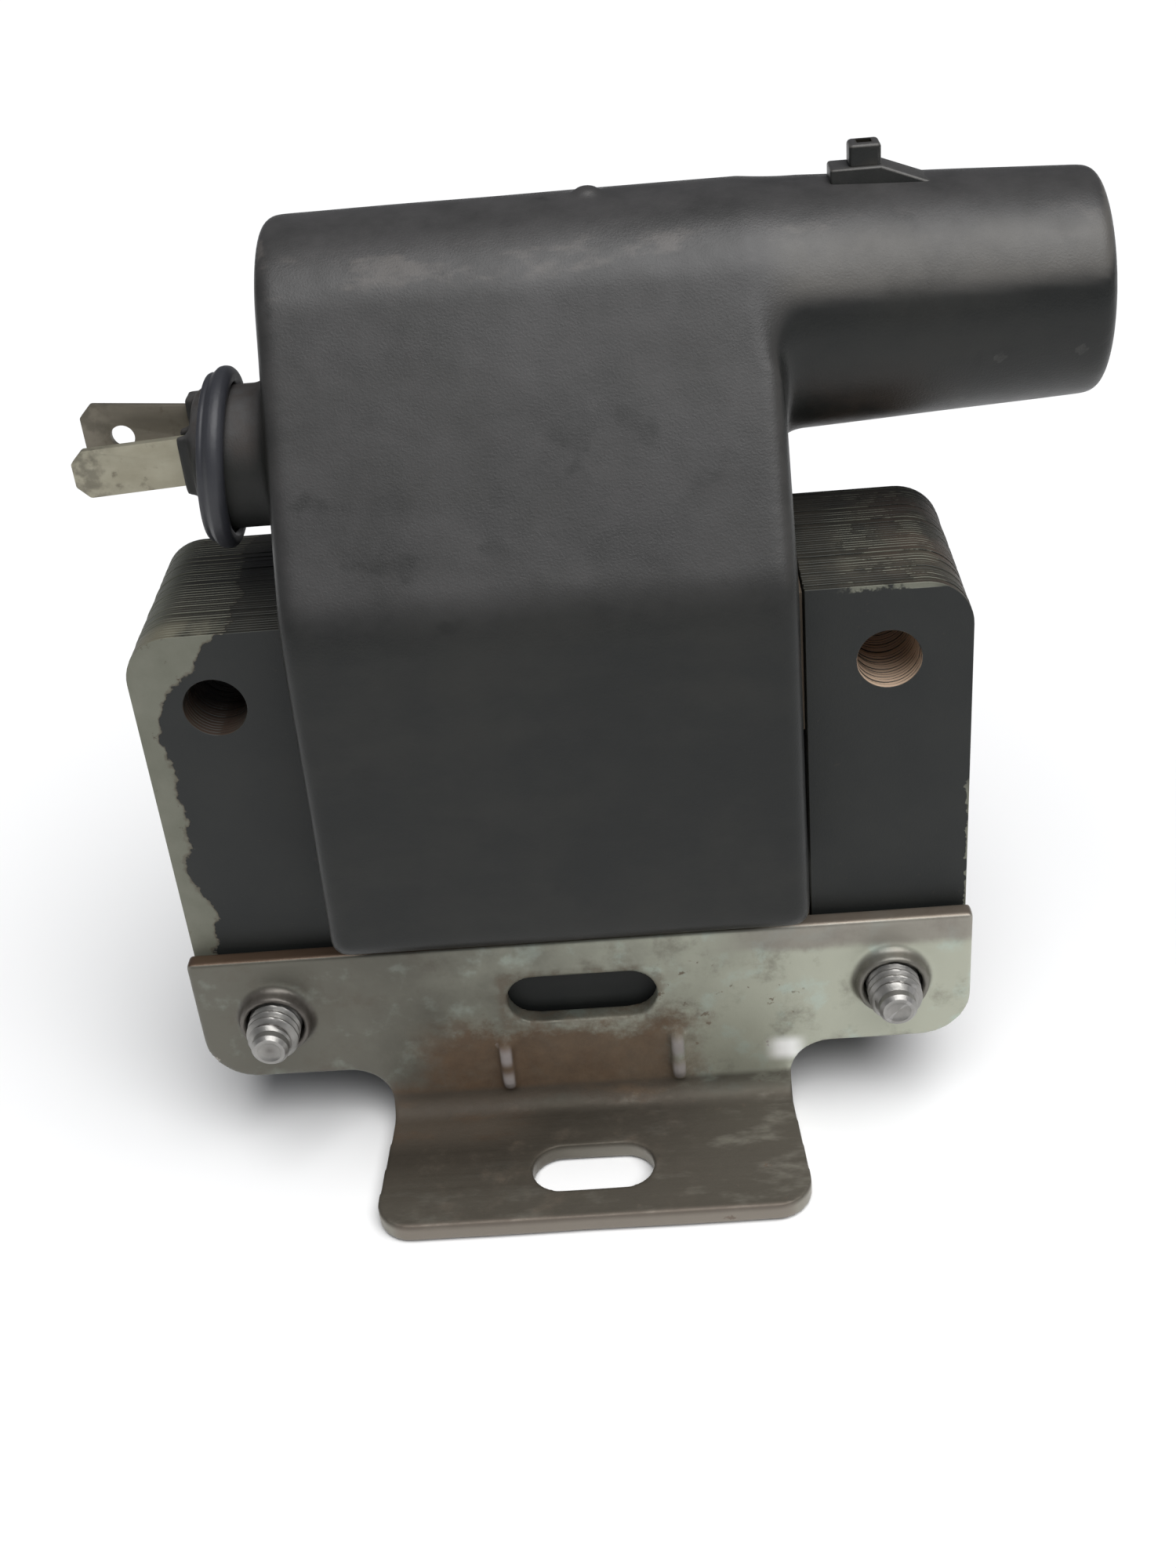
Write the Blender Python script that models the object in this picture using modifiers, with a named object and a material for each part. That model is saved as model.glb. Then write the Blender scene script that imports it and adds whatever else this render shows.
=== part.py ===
"""Ignition coil: a moulded case with a high-tension tower, on a laminated core and a bent steel bracket.

Everything is modelled from the front face and the mid-height of the core. The empty bracket_origin then moves
it as one, so that the world origin is the middle of the bracket's flange slot, on the flange's underside.
+X points along the tower, +Y to the coil's back and +Z up. Lengths are in metres.
"""

from math import asin, atan2, cos, degrees, pi, radians, sin

import bmesh
import bpy
from mathutils import Matrix, Vector

MM = 0.001
GAP = 0.3 * MM  # clearance between pieces that touch on the real coil

# Laminated core: a rectangular ring of a U stack and an I stack
CORE_HALF_X = 41.7 * MM
CORE_HALF_Z = 27.2 * MM
CORE_DEPTH = 22.3 * MM
CORE_LIMB = 16.4 * MM
CORE_CORNER = 5.0 * MM
HOLE_X = 33.5 * MM
HOLE_Z = 19.0 * MM
HOLE_RADIUS = 3.2 * MM
SHIM_THICKNESS = 0.4 * MM
SHIM_GAP = 0.2 * MM
SHIM_INSET = 0.5 * MM  # how far a shim lies inside the limb's outline
WINDOW_X = CORE_HALF_X - CORE_LIMB
WINDOW_Z = CORE_HALF_Z - CORE_LIMB

# Case: a prism along X with a sloping front, a round ridge on top and an open back
CASE_HALF_X = 24.3 * MM
CASE_FOOT = Vector((-11.5, -5.6)) * MM
CASE_KNEE = Vector((-8.0, 30.5)) * MM
CASE_BACK = 30.3 * MM
CASE_WALL = 1.8 * MM
CASE_EDGE = 1.2 * MM
CASE_FOOT_FILLET = 1.5 * MM
CASE_KNEE_FILLET = 7.0 * MM
RIDGE_Y = 18.0 * MM
RIDGE_Z = 49.2 * MM
RIDGE_RADIUS = 12.3 * MM
RIDGE_MARK_X = 7.2 * MM
RIDGE_MARK_HALF = 1.3 * MM
RIDGE_MARK_TOP = 62.2 * MM
CAVITY_TOP = 47.0 * MM
CAVITY_DRAFT = (0.1 * MM, 0.3 * MM)  # how much more wall the cavity leaves at the foot, and below the knee
LEAD_WAY_X = (14.0 * MM, 22.0 * MM)
LEAD_WAY_HALF_Y = 3.0 * MM
RESIN_FRONT_GAP = 1.0 * MM

# High-tension tower on the ridge's axis
TOWER_START = 18.3 * MM
TOWER_END = 55.5 * MM
TOWER_BASE_RADIUS = 12.1 * MM
TOWER_END_RADIUS = 10.7 * MM
TOWER_LIP = 1.5 * MM
SOCKET_FLOOR = 31.0 * MM
SOCKET_RADIUS = 7.2 * MM
SOCKET_FLOOR_RADIUS = 6.4 * MM
TERMINAL_START = 17.0 * MM
TERMINAL_SHOULDER = 32.0 * MM
TERMINAL_NOSE = 40.5 * MM
TERMINAL_RADIUS = 2.6 * MM
TERMINAL_SHANK_RADIUS = 2.4 * MM
TERMINAL_WAY_RADIUS = 3.3 * MM
LUG_X = 33.3 * MM
LUG_TOP = 64.2 * MM
LUG_HALF_X = 1.5 * MM
LUG_HALF_Y = 1.3 * MM
LUG_RECESS = (0.7 * MM, 0.6 * MM, 1.2 * MM)  # half its width, half its depth along Y, how deep it goes
LUG_PAD_TOP = 62.2 * MM
LUG_PAD_HALF_Y = 1.7 * MM
LUG_PAD_X = (30.0 * MM, 34.9 * MM, 45.9 * MM)  # start, end of the flat top, foot of the ramp

# Primary connector on the left side
BOSS_Y = 10.0 * MM
BOSS_Z = 41.2 * MM
BOSS_RADIUS = 6.9 * MM
BOSS_END = -31.8 * MM
SEAL_RADIUS = 8.8 * MM
SEAL_X = (-31.2 * MM, -28.6 * MM)
BLADE_THICKNESS = 0.8 * MM
BLADE_INNER_X = -21.3 * MM
BLADE_TIP_X = -43.9 * MM
BLADE_ROOT_X = -30.0 * MM
BLADE_CHAMFER = 1.2 * MM
BLADE_HOLE_X = -40.1 * MM
BLADE_HOLE_RADIUS = 1.2 * MM
BLADE_HOLE_DROP = 0.3 * MM
BLADE_SLOT_GAP = 0.6 * MM
BLADES = {  # Y, Z at the tip end, Z at the inner end, width
    "terminal_blade_front": (7.0 * MM, 41.9 * MM, 42.6 * MM, 4.8 * MM),
    "terminal_blade_rear": (13.0 * MM, 43.4 * MM, 42.3 * MM, 6.3 * MM),
}

# Windings round the core's upper limb: how far each layer stands off the limb
BOBBIN_INSIDE = 0.4 * MM
PRIMARY_BOBBIN = 1.3 * MM
PRIMARY_BOBBIN_FLANGE = 2.6 * MM
PRIMARY_WINDING = (1.6 * MM, 2.8 * MM)
SECONDARY_BOBBIN = (3.1 * MM, 3.9 * MM)
SECONDARY_FLANGE = 6.0 * MM
SECONDARY_WINDING = (4.2 * MM, 5.7 * MM)
PRIMARY_HALF_X = 22.0 * MM
SECONDARY_HALF_X = 20.5 * MM
SECTIONS = 5
FLANGE_THICKNESS = 0.8 * MM
TUBE_END = 0.3 * MM  # how far a bobbin's tube stands past its end flanges

# Leads: where each runs, and its radius
PRIMARY_LEADS = {"primary_lead_start": "terminal_blade_front", "primary_lead_end": "terminal_blade_rear"}
PRIMARY_LEAD_RADIUS = 0.4 * MM
LEAD_GAP = 0.4 * MM
LEAD_STAND_OFF = 0.1 * MM
LEAD_BOW = 0.3 * MM
HV_LEAD_X = (20.0 * MM, 15.5 * MM)
HV_LEAD_DROP = 0.7 * MM
HV_LEAD_RADIUS = 0.45 * MM
RETURN_LEAD_START = (-16.5 * MM, 12.0 * MM)
RETURN_LEAD_RUN = (-2.6 * MM, 5.5 * MM, 4.0 * MM)
RETURN_LEAD_RADIUS = 0.3 * MM

# Bracket: a plate on the core's lower limb, bent forwards into a slotted flange
SHEET = 2.2 * MM
PLATE_HALF_X = 42.1 * MM
PLATE_TOP = -11.2 * MM
PLATE_BOTTOM = -27.4 * MM
PLATE_CORNER = 5.5 * MM
PLATE_FRONT = -(GAP + SHEET)
PLATE_SLOT = (16.4 * MM, 6.2 * MM)
PLATE_TRIM_FRONT = 1.2 * MM
NECK_HALF_X = 22.4 * MM
NECK_FILLET = 4.5 * MM
BEND_RADIUS = 2.0 * MM
FLANGE_UNDERSIDE = -36.0 * MM
FLANGE_LIP = -20.5 * MM
FLANGE_LIP_HALF_X = 23.5 * MM
FLANGE_CORNER = 4.0 * MM
FLANGE_SLOT_Y = -13.0 * MM
FLANGE_SLOT = (13.2 * MM, 6.6 * MM)
TRIM_REACH = 8.0 * MM  # how far a trimming cutter runs past the sheet
RIB_X = (-9.0 * MM, 10.0 * MM)
RIB_HALF_WIDTH = 1.0 * MM
RIB_OUTLINE = (  # how far each point stands in front of the plate's front face, and its height
    (-0.5 * MM, -24.3 * MM),
    (1.0 * MM, -25.5 * MM),
    (1.3 * MM, -30.2 * MM),
    (0.4 * MM, -31.3 * MM),
    (-0.5 * MM, -31.3 * MM),
)
COLLAR_RADIUS = 3.9 * MM
COLLAR_FRONT = -4.2 * MM
COLLAR_BORE = 3.2 * MM

# M6 bolts from the back, with a pilot tip at the front
BOLT_RADIUS = 2.85 * MM
BOLT_TIP_RADIUS = 2.0 * MM
BOLT_TIP = -8.3 * MM
BOLT_TIP_CHAMFER = 0.4 * MM
BOLT_THREAD_END = -6.6 * MM
BOLT_SHOULDER = 0.6 * MM
BOLT_HEAD = (24.1 * MM, 28.1 * MM)
BOLT_HEAD_RADIUS = 5.77 * MM
WASHER = (22.6 * MM, 23.8 * MM)
WASHER_RADIUS = 6.2 * MM

ORIGIN = (0, -FLANGE_SLOT_Y, -FLANGE_UNDERSIDE)
OVERCUT = 1.0 * MM

# Turns that lay a flat outline, drawn in local X and Y, into a plane of the coil
FACING_Y = Matrix.Rotation(pi / 2, 4, "X")
FACING_X = Matrix.Rotation(pi / 2, 4, "Z") @ Matrix.Rotation(pi / 2, 4, "X")
FACING_Z = Matrix.Identity(4)
# Turns that lay a turned shape's Z axis along X or Y
AXIS_X = Matrix.Rotation(pi / 2, 4, "Y")
AXIS_Y = Matrix.Rotation(-pi / 2, 4, "X")

for old in list(bpy.data.objects):
    bpy.data.objects.remove(old, do_unlink=True)

PARTS = bpy.data.collections.new("ignition_coil")
CUTTERS = bpy.data.collections.new("cutters")
CUTTERS.hide_render = True
for group in (PARTS, CUTTERS):
    bpy.context.scene.collection.children.link(group)


def material(name, color, roughness, metallic=0.0):
    made = bpy.data.materials.new(name)
    made.use_nodes = True
    shader = made.node_tree.nodes["Principled BSDF"]
    shader.inputs["Base Color"].default_value = (*color, 1)
    shader.inputs["Roughness"].default_value = roughness
    shader.inputs["Metallic"].default_value = metallic
    return made


# Basic shapes


def place(name, mesh, matrix=FACING_Z, cutter=False):
    """A new object, among the parts or among the cutters."""
    made = bpy.data.objects.new(name, mesh)
    made.matrix_world = matrix
    (CUTTERS if cutter else PARTS).objects.link(made)
    if cutter:
        made.hide_render = True
        made.display_type = "WIRE"
    return made


def box(name, low, high, cutter=False):
    """A box between two opposite corners."""
    low, high = Vector(low), Vector(high)
    shape = bmesh.new()
    bmesh.ops.create_cube(shape, size=1)
    bmesh.ops.scale(shape, vec=high - low, verts=shape.verts)
    mesh = bpy.data.meshes.new(name)
    shape.to_mesh(mesh)
    shape.free()
    return place(name, mesh, Matrix.Translation((low + high) / 2), cutter)


def outline(name, loops, start, end, facing, cutter=False):
    """A plate between two planes. Its edge follows the first loop, and each further loop is a hole."""
    curve = bpy.data.curves.new(name, "CURVE")
    curve.dimensions = "2D"
    curve.fill_mode = "BOTH"
    curve.extrude = (end - start) / 2
    for loop in loops:
        spline = curve.splines.new("POLY")
        spline.points.add(len(loop) - 1)
        spline.use_cyclic_u = True
        for point, (u, v) in zip(spline.points, loop):
            point.co = (u, v, 0, 1)
    # The local Z of FACING_Y runs towards -Y, so its plane lies at minus the middle
    middle = (start + end) / 2 * (-1 if facing is FACING_Y else 1)
    guide = bpy.data.objects.new(name + "_outline", curve)
    bpy.context.scene.collection.objects.link(guide)
    guide.matrix_world = facing @ Matrix.Translation((0, 0, middle))
    bpy.context.view_layer.update()
    graph = bpy.context.evaluated_depsgraph_get()
    mesh = bpy.data.meshes.new_from_object(guide.evaluated_get(graph))
    mesh.name = name
    shape = bmesh.new()
    shape.from_mesh(mesh)
    bmesh.ops.remove_doubles(shape, verts=shape.verts, dist=1e-6)
    bmesh.ops.recalc_face_normals(shape, faces=shape.faces)
    shape.to_mesh(mesh)
    shape.free()
    matrix = guide.matrix_world.copy()
    bpy.data.objects.remove(guide)
    return place(name, mesh, matrix, cutter)


def turned(name, profile, matrix, steps=32, cutter=False):
    """A turned solid. The profile is (radius, height) points on the axis's +X side, from top to bottom."""
    mesh = bpy.data.meshes.new(name)
    points = [(radius, 0, height) for radius, height in profile]
    mesh.from_pydata(points, [(i, i + 1) for i in range(len(points) - 1)], [])
    made = place(name, mesh, matrix, cutter)
    screw = made.modifiers.new("Turn", "SCREW")
    screw.axis = "Z"
    screw.steps = screw.render_steps = steps
    screw.use_merge_vertices = True
    screw.merge_threshold = 1e-6
    screw.use_smooth_shade = True
    return made


def rod(name, radius, start, end, across, axis, steps=24, cutter=False):
    """A plain round rod along X or Y. across is its place in the two other directions."""
    profile = [(0, end), (radius, end), (radius, start), (0, start)]
    if axis is AXIS_X:
        matrix = Matrix.Translation((0, *across)) @ AXIS_X
    else:
        matrix = Matrix.Translation((across[0], 0, across[1])) @ AXIS_Y
    return turned(name, profile, matrix, steps, cutter)


def wire(name, points, radius):
    """A round wire through the given points."""
    curve = bpy.data.curves.new(name, "CURVE")
    curve.dimensions = "3D"
    curve.bevel_depth = radius
    curve.bevel_resolution = 2
    curve.use_fill_caps = True
    spline = curve.splines.new("POLY")
    spline.points.add(len(points) - 1)
    for point, place_at in zip(spline.points, points):
        point.co = (*place_at, 1)
    made = bpy.data.objects.new(name, curve)
    PARTS.objects.link(made)
    return made


def combine(target, other, operation):
    boolean = target.modifiers.new(other.name, "BOOLEAN")
    boolean.operation = operation
    boolean.object = other
    return target


def cut(target, *others):
    for other in others:
        combine(target, other, "DIFFERENCE")


def join(target, *others):
    for other in others:
        combine(target, other, "UNION")


def rounded(target, width, segments=2, angle=40):
    bevel = target.modifiers.new("Edges", "BEVEL")
    bevel.width = width
    bevel.segments = segments
    bevel.limit_method = "ANGLE"
    bevel.angle_limit = radians(angle)


# Outlines


def arc(centre, radius, start, end, steps):
    """Points on an arc, with its angles in degrees."""
    angles = [radians(start + (end - start) * i / steps) for i in range(steps + 1)]
    return [(centre[0] + radius * cos(a), centre[1] + radius * sin(a)) for a in angles]


def circle(centre, radius, steps=24):
    return arc(centre, radius, 0, 360 * (steps - 1) / steps, steps - 1)


def slot(centre, length, height, steps=10):
    """A slot along the first axis, with round ends."""
    radius = height / 2
    reach = length / 2 - radius
    right = arc((centre[0] + reach, centre[1]), radius, -90, 90, steps)
    return right + arc((centre[0] - reach, centre[1]), radius, 90, 270, steps)


def fillet(corner, before, after, radius, steps=6):
    """The arc that rounds a corner between the points before and after it."""
    corner, before, after = Vector(corner), Vector(before), Vector(after)
    one, two = (before - corner).normalized(), (after - corner).normalized()
    half = one.angle(two) / 2
    centre = corner + (one + two).normalized() * (radius / sin(half))
    first = corner + one * (radius * cos(half) / sin(half)) - centre
    last = corner + two * (radius * cos(half) / sin(half)) - centre
    turn = first.angle_signed(last)
    made = []
    for i in range(steps + 1):
        spoke = first.copy()
        spoke.rotate(Matrix.Rotation(-turn * i / steps, 2))
        made.append(tuple(centre + spoke))
    return made


def rounded_outline(corners):
    """An outline through corners given as (u, v, radius), a radius of 0 leaving the corner sharp."""
    made = []
    for i, (u, v, radius) in enumerate(corners):
        before, after = corners[i - 1][:2], corners[(i + 1) % len(corners)][:2]
        made += fillet((u, v), before, after, radius) if radius else [(u, v)]
    return made


def limb_ring(stand_off):
    """A rounded rectangle in Y and Z, standing off the core's upper limb."""
    low = (-stand_off, WINDOW_Z - stand_off)
    high = (CORE_DEPTH + stand_off, CORE_HALF_Z + stand_off)
    return rounded_outline(
        [(*low, stand_off), (high[0], low[1], stand_off), (*high, stand_off), (low[0], high[1], stand_off)]
    )


# Core


def core_stacks():
    """The U stack from the left, the I stack on the right, and the two shims in their joints."""
    limb_end = WINDOW_X - 2 * SHIM_GAP - SHIM_THICKNESS
    corners = [
        (limb_end, -CORE_HALF_Z, 0),
        (limb_end, -WINDOW_Z, 0),
        (-WINDOW_X, -WINDOW_Z, 0),
        (-WINDOW_X, WINDOW_Z, 0),
        (limb_end, WINDOW_Z, 0),
        (limb_end, CORE_HALF_Z, 0),
        (-CORE_HALF_X, CORE_HALF_Z, CORE_CORNER),
        (-CORE_HALF_X, -CORE_HALF_Z, CORE_CORNER),
    ]
    holes = [circle((-HOLE_X, side * HOLE_Z), HOLE_RADIUS) for side in (-1, 1)]
    u_stack = outline("core_u_stack", [rounded_outline(corners), *holes], 0, CORE_DEPTH, FACING_Y)
    corners = [
        (WINDOW_X, -CORE_HALF_Z, 0),
        (CORE_HALF_X, -CORE_HALF_Z, CORE_CORNER),
        (CORE_HALF_X, CORE_HALF_Z, CORE_CORNER),
        (WINDOW_X, CORE_HALF_Z, 0),
    ]
    holes = [circle((HOLE_X, side * HOLE_Z), HOLE_RADIUS) for side in (-1, 1)]
    i_stack = outline("core_i_stack", [rounded_outline(corners), *holes], 0, CORE_DEPTH, FACING_Y)
    start = limb_end + SHIM_GAP
    shims = []
    for name, side in (("core_shim_upper", 1), ("core_shim_lower", -1)):
        ends = sorted((side * (WINDOW_Z + SHIM_INSET), side * (CORE_HALF_Z - SHIM_INSET)))
        low = (start, SHIM_INSET, ends[0])
        high = (start + SHIM_THICKNESS, CORE_DEPTH - SHIM_INSET, ends[1])
        shims.append(box(name, low, high))
    return [u_stack, i_stack], shims


# Case


def front_slope():
    """How far the front slope leans back from the vertical, from the knee to the ridge's circle."""
    towards = Vector((RIDGE_Y, RIDGE_Z)) - CASE_KNEE
    return atan2(towards.x, towards.y) - asin(RIDGE_RADIUS / towards.length)


def case_body():
    """The outside of the case, without its tower and boss."""
    lean = front_slope()
    start = 180 - degrees(lean)
    ridge = arc((RIDGE_Y, RIDGE_Z), RIDGE_RADIUS, start, 0, 14)
    tangent = ridge[0]
    front = [
        *fillet(CASE_FOOT, (CASE_BACK, CASE_FOOT.y), CASE_KNEE, CASE_FOOT_FILLET, 3),
        *fillet(CASE_KNEE, CASE_FOOT, tangent, CASE_KNEE_FILLET, 5),
    ]
    loop = front + ridge + [(CASE_BACK, CASE_FOOT.y)]
    body = outline("case", [loop], -CASE_HALF_X, CASE_HALF_X, FACING_X)
    rounded(body, CASE_EDGE)
    return body


def case_cavity():
    """The hollow that holds the windings, open at the back."""
    lean = front_slope()
    inward = Vector((cos(lean), -sin(lean))) * CASE_WALL
    foot = (CASE_FOOT.x + CASE_WALL + CAVITY_DRAFT[0], CASE_FOOT.y + CASE_WALL)
    knee = (CASE_KNEE.x + CASE_WALL, CASE_KNEE.y - CAVITY_DRAFT[1])
    slope_foot = CASE_KNEE + inward
    rise = CAVITY_TOP - slope_foot.y
    top = (slope_foot.x + rise * sin(lean) / cos(lean), CAVITY_TOP)
    back = CASE_BACK + OVERCUT
    loop = [foot, knee, top, (back, CAVITY_TOP), (back, foot[1])]
    half = CASE_HALF_X - CASE_WALL
    return outline("cavity", [loop], -half, half, FACING_X, cutter=True)


def tower_outside():
    end = TOWER_END - TOWER_LIP
    lip = arc((TOWER_END_RADIUS - TOWER_LIP, end), TOWER_LIP, 90, 0, 4)
    profile = [(0, TOWER_END), *lip, (TOWER_BASE_RADIUS, CASE_HALF_X)]
    profile += [(TOWER_BASE_RADIUS, TOWER_START), (0, TOWER_START)]
    return turned("tower", profile, Matrix.Translation((0, RIDGE_Y, RIDGE_Z)) @ AXIS_X, 40, cutter=True)


def tower_socket():
    mouth = TOWER_END + OVERCUT
    profile = [(0, mouth), (SOCKET_RADIUS, mouth), (SOCKET_FLOOR_RADIUS, SOCKET_FLOOR), (0, SOCKET_FLOOR)]
    return turned("socket", profile, Matrix.Translation((0, RIDGE_Y, RIDGE_Z)) @ AXIS_X, 32, cutter=True)


def tower_lug():
    """The latch lug on top of the tower: a pad with a ramp, a block, and the recess in the block's top."""
    below = RIDGE_Z + TOWER_END_RADIUS - 2 * MM
    start, flat_end, foot = LUG_PAD_X
    ramp = [(start, below), (foot, below), (flat_end, LUG_PAD_TOP), (start, LUG_PAD_TOP)]
    ends = (RIDGE_Y - LUG_PAD_HALF_Y, RIDGE_Y + LUG_PAD_HALF_Y)
    pad = outline("lug_pad", [ramp], *ends, FACING_Y, cutter=True)
    low = (LUG_X - LUG_HALF_X, RIDGE_Y - LUG_HALF_Y, below)
    block = box("lug_block", low, (LUG_X + LUG_HALF_X, RIDGE_Y + LUG_HALF_Y, LUG_TOP), cutter=True)
    half_x, half_y, deep = LUG_RECESS
    low = (LUG_X - half_x, RIDGE_Y - half_y, LUG_TOP - deep)
    recess = box("lug_recess", low, (LUG_X + half_x, RIDGE_Y + half_y, LUG_TOP + OVERCUT), cutter=True)
    return pad, block, recess


def blade_slot(name):
    y, tip_z, inner_z, width = BLADES[name]
    half_y = BLADE_THICKNESS / 2 + GAP
    half_z = width / 2 + BLADE_SLOT_GAP
    middle = inner_z + (tip_z - inner_z) / 4
    low = (BOSS_END - OVERCUT, y - half_y, middle - half_z)
    high = (-CASE_HALF_X + CASE_WALL + OVERCUT, y + half_y, middle + half_z)
    return box(name + "_slot", low, high, cutter=True)


def case():
    body = case_body()
    inner = -CASE_HALF_X + CASE_WALL / 2
    boss = rod("boss", BOSS_RADIUS, BOSS_END, inner, (BOSS_Y, BOSS_Z), AXIS_X, 32, cutter=True)
    pad, block, recess = tower_lug()
    low = (RIDGE_MARK_X - RIDGE_MARK_HALF, RIDGE_Y - RIDGE_MARK_HALF, RIDGE_Z)
    high = (RIDGE_MARK_X + RIDGE_MARK_HALF, RIDGE_Y + RIDGE_MARK_HALF, RIDGE_MARK_TOP)
    mark = box("ridge_mark", low, high, cutter=True)
    join(body, tower_outside(), boss, pad, block, mark)
    reach = CASE_HALF_X + OVERCUT
    low = (-reach, -BOBBIN_INSIDE, WINDOW_Z - BOBBIN_INSIDE)
    high = (reach, CORE_DEPTH + BOBBIN_INSIDE, CORE_HALF_Z + BOBBIN_INSIDE)
    limb_way = box("limb_way", low, high, cutter=True)
    ends = (TERMINAL_START - OVERCUT, SOCKET_FLOOR + OVERCUT)
    axis = (RIDGE_Y, RIDGE_Z)
    terminal_way = rod("terminal_way", TERMINAL_WAY_RADIUS, *ends, axis, AXIS_X, 24, cutter=True)
    low = (LEAD_WAY_X[0], RIDGE_Y - LEAD_WAY_HALF_Y, CAVITY_TOP - OVERCUT)
    high = (LEAD_WAY_X[1], RIDGE_Y + LEAD_WAY_HALF_Y, RIDGE_Z)
    lead_way = box("lead_way", low, high, cutter=True)
    cut(body, case_cavity(), limb_way, tower_socket(), terminal_way, lead_way, recess)
    cut(body, *(blade_slot(name) for name in BLADES))
    return body


def potting_compound():
    """The resin's back skin, with the block of resin that fills the case's foot."""
    clear = GAP
    low_z = CASE_FOOT.y + CASE_WALL + clear
    block_top = WINDOW_Z - SECONDARY_FLANGE - clear
    back = CASE_BACK - clear
    skin = CORE_DEPTH + SECONDARY_FLANGE + clear
    front = CASE_FOOT.x + CASE_WALL + RESIN_FRONT_GAP
    loop = [
        (front, low_z),
        (back, low_z),
        (back, CAVITY_TOP - clear),
        (skin, CAVITY_TOP - clear),
        (skin, block_top),
        (front, block_top),
    ]
    half = CASE_HALF_X - CASE_WALL - clear
    return outline("potting_compound", [loop], -half, half, FACING_X)


# Windings


def flanged_bobbin(name, inside, outside, flange, half_x, flange_places):
    """A tube round the limb with a flange at each given place along X."""
    bobbin = outline(name, [limb_ring(outside)], -half_x, half_x, FACING_X)
    half = FLANGE_THICKNESS / 2
    for i, x in enumerate(flange_places):
        ends = (x - half, x + half)
        join(bobbin, outline(f"{name}_flange_{i + 1}", [limb_ring(flange)], *ends, FACING_X, cutter=True))
    reach = half_x + OVERCUT
    cut(bobbin, outline(name + "_bore", [limb_ring(inside)], -reach, reach, FACING_X, cutter=True))
    return bobbin


def windings():
    """Bobbins and windings: copper for the primary, one piece for each section of the secondary."""
    end = PRIMARY_HALF_X - TUBE_END - FLANGE_THICKNESS / 2
    stand_offs = (BOBBIN_INSIDE, PRIMARY_BOBBIN, PRIMARY_BOBBIN_FLANGE)
    primary_bobbin = flanged_bobbin("primary_bobbin", *stand_offs, PRIMARY_HALF_X, (-end, end))
    half = PRIMARY_HALF_X - TUBE_END - FLANGE_THICKNESS - GAP
    loops = [limb_ring(PRIMARY_WINDING[1]), limb_ring(PRIMARY_WINDING[0])]
    primary = outline("primary_winding", loops, -half, half, FACING_X)
    end = SECONDARY_HALF_X - TUBE_END - FLANGE_THICKNESS / 2
    pitch = 2 * end / SECTIONS
    places = [-end + pitch * i for i in range(SECTIONS + 1)]
    stand_offs = (*SECONDARY_BOBBIN, SECONDARY_FLANGE)
    secondary_bobbin = flanged_bobbin("secondary_bobbin", *stand_offs, SECONDARY_HALF_X, places)
    sections = []
    for i, x in enumerate(places[:-1]):
        inset = FLANGE_THICKNESS / 2 + GAP
        loops = [limb_ring(SECONDARY_WINDING[1]), limb_ring(SECONDARY_WINDING[0])]
        name = f"secondary_winding_{i + 1}"
        sections.append(outline(name, loops, x + inset, x + pitch - inset, FACING_X))
    return [primary_bobbin, secondary_bobbin], [primary], sections


def leads():
    """Wires from the blades to the primary, and from the secondary to the high-tension terminal."""
    made = []
    top = CORE_HALF_Z + PRIMARY_BOBBIN_FLANGE + LEAD_GAP
    x = BLADE_INNER_X - LEAD_STAND_OFF
    for name, blade_name in PRIMARY_LEADS.items():
        y, _, inner_z, width = BLADES[blade_name]
        start = inner_z - width / 2 - BLADE_SLOT_GAP
        points = [(x, y + LEAD_BOW * sin(pi * i / 6), start + (top - start) * i / 6) for i in range(7)]
        made.append(wire(name, points, PRIMARY_LEAD_RADIUS))
    low = CORE_HALF_Z + SECONDARY_FLANGE + 2 * GAP
    high = RIDGE_Z - TERMINAL_SHANK_RADIUS - HV_LEAD_DROP
    points = []
    for i in range(9):
        t = i / 8
        x = HV_LEAD_X[0] + (HV_LEAD_X[1] - HV_LEAD_X[0]) * t * t * (3 - 2 * t)
        points.append((x, RIDGE_Y, high + (low - high) * t))
    made.append(wire("hv_lead", points, HV_LEAD_RADIUS))
    x, y = RETURN_LEAD_START
    run_x, run_y, rise = RETURN_LEAD_RUN
    points = []
    for i in range(9):
        t = i / 8
        points.append((x + run_x * t, y + run_y * t, low + rise * sin(pi / 2 * t)))
    made.append(wire("secondary_return_lead", points, RETURN_LEAD_RADIUS))
    return made


# Terminals


def hv_terminal():
    """The stepped brass terminal in the tower, with a round nose."""
    nose = arc((0, TERMINAL_NOSE), TERMINAL_RADIUS, 90, 0, 6)
    profile = [(0, nose[0][1]), *nose[1:], (TERMINAL_RADIUS, TERMINAL_SHOULDER)]
    profile += [(TERMINAL_SHANK_RADIUS, TERMINAL_SHOULDER), (TERMINAL_SHANK_RADIUS, TERMINAL_START)]
    profile.append((0, TERMINAL_START))
    return turned("hv_terminal", profile, Matrix.Translation((0, RIDGE_Y, RIDGE_Z)) @ AXIS_X, 24)


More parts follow.
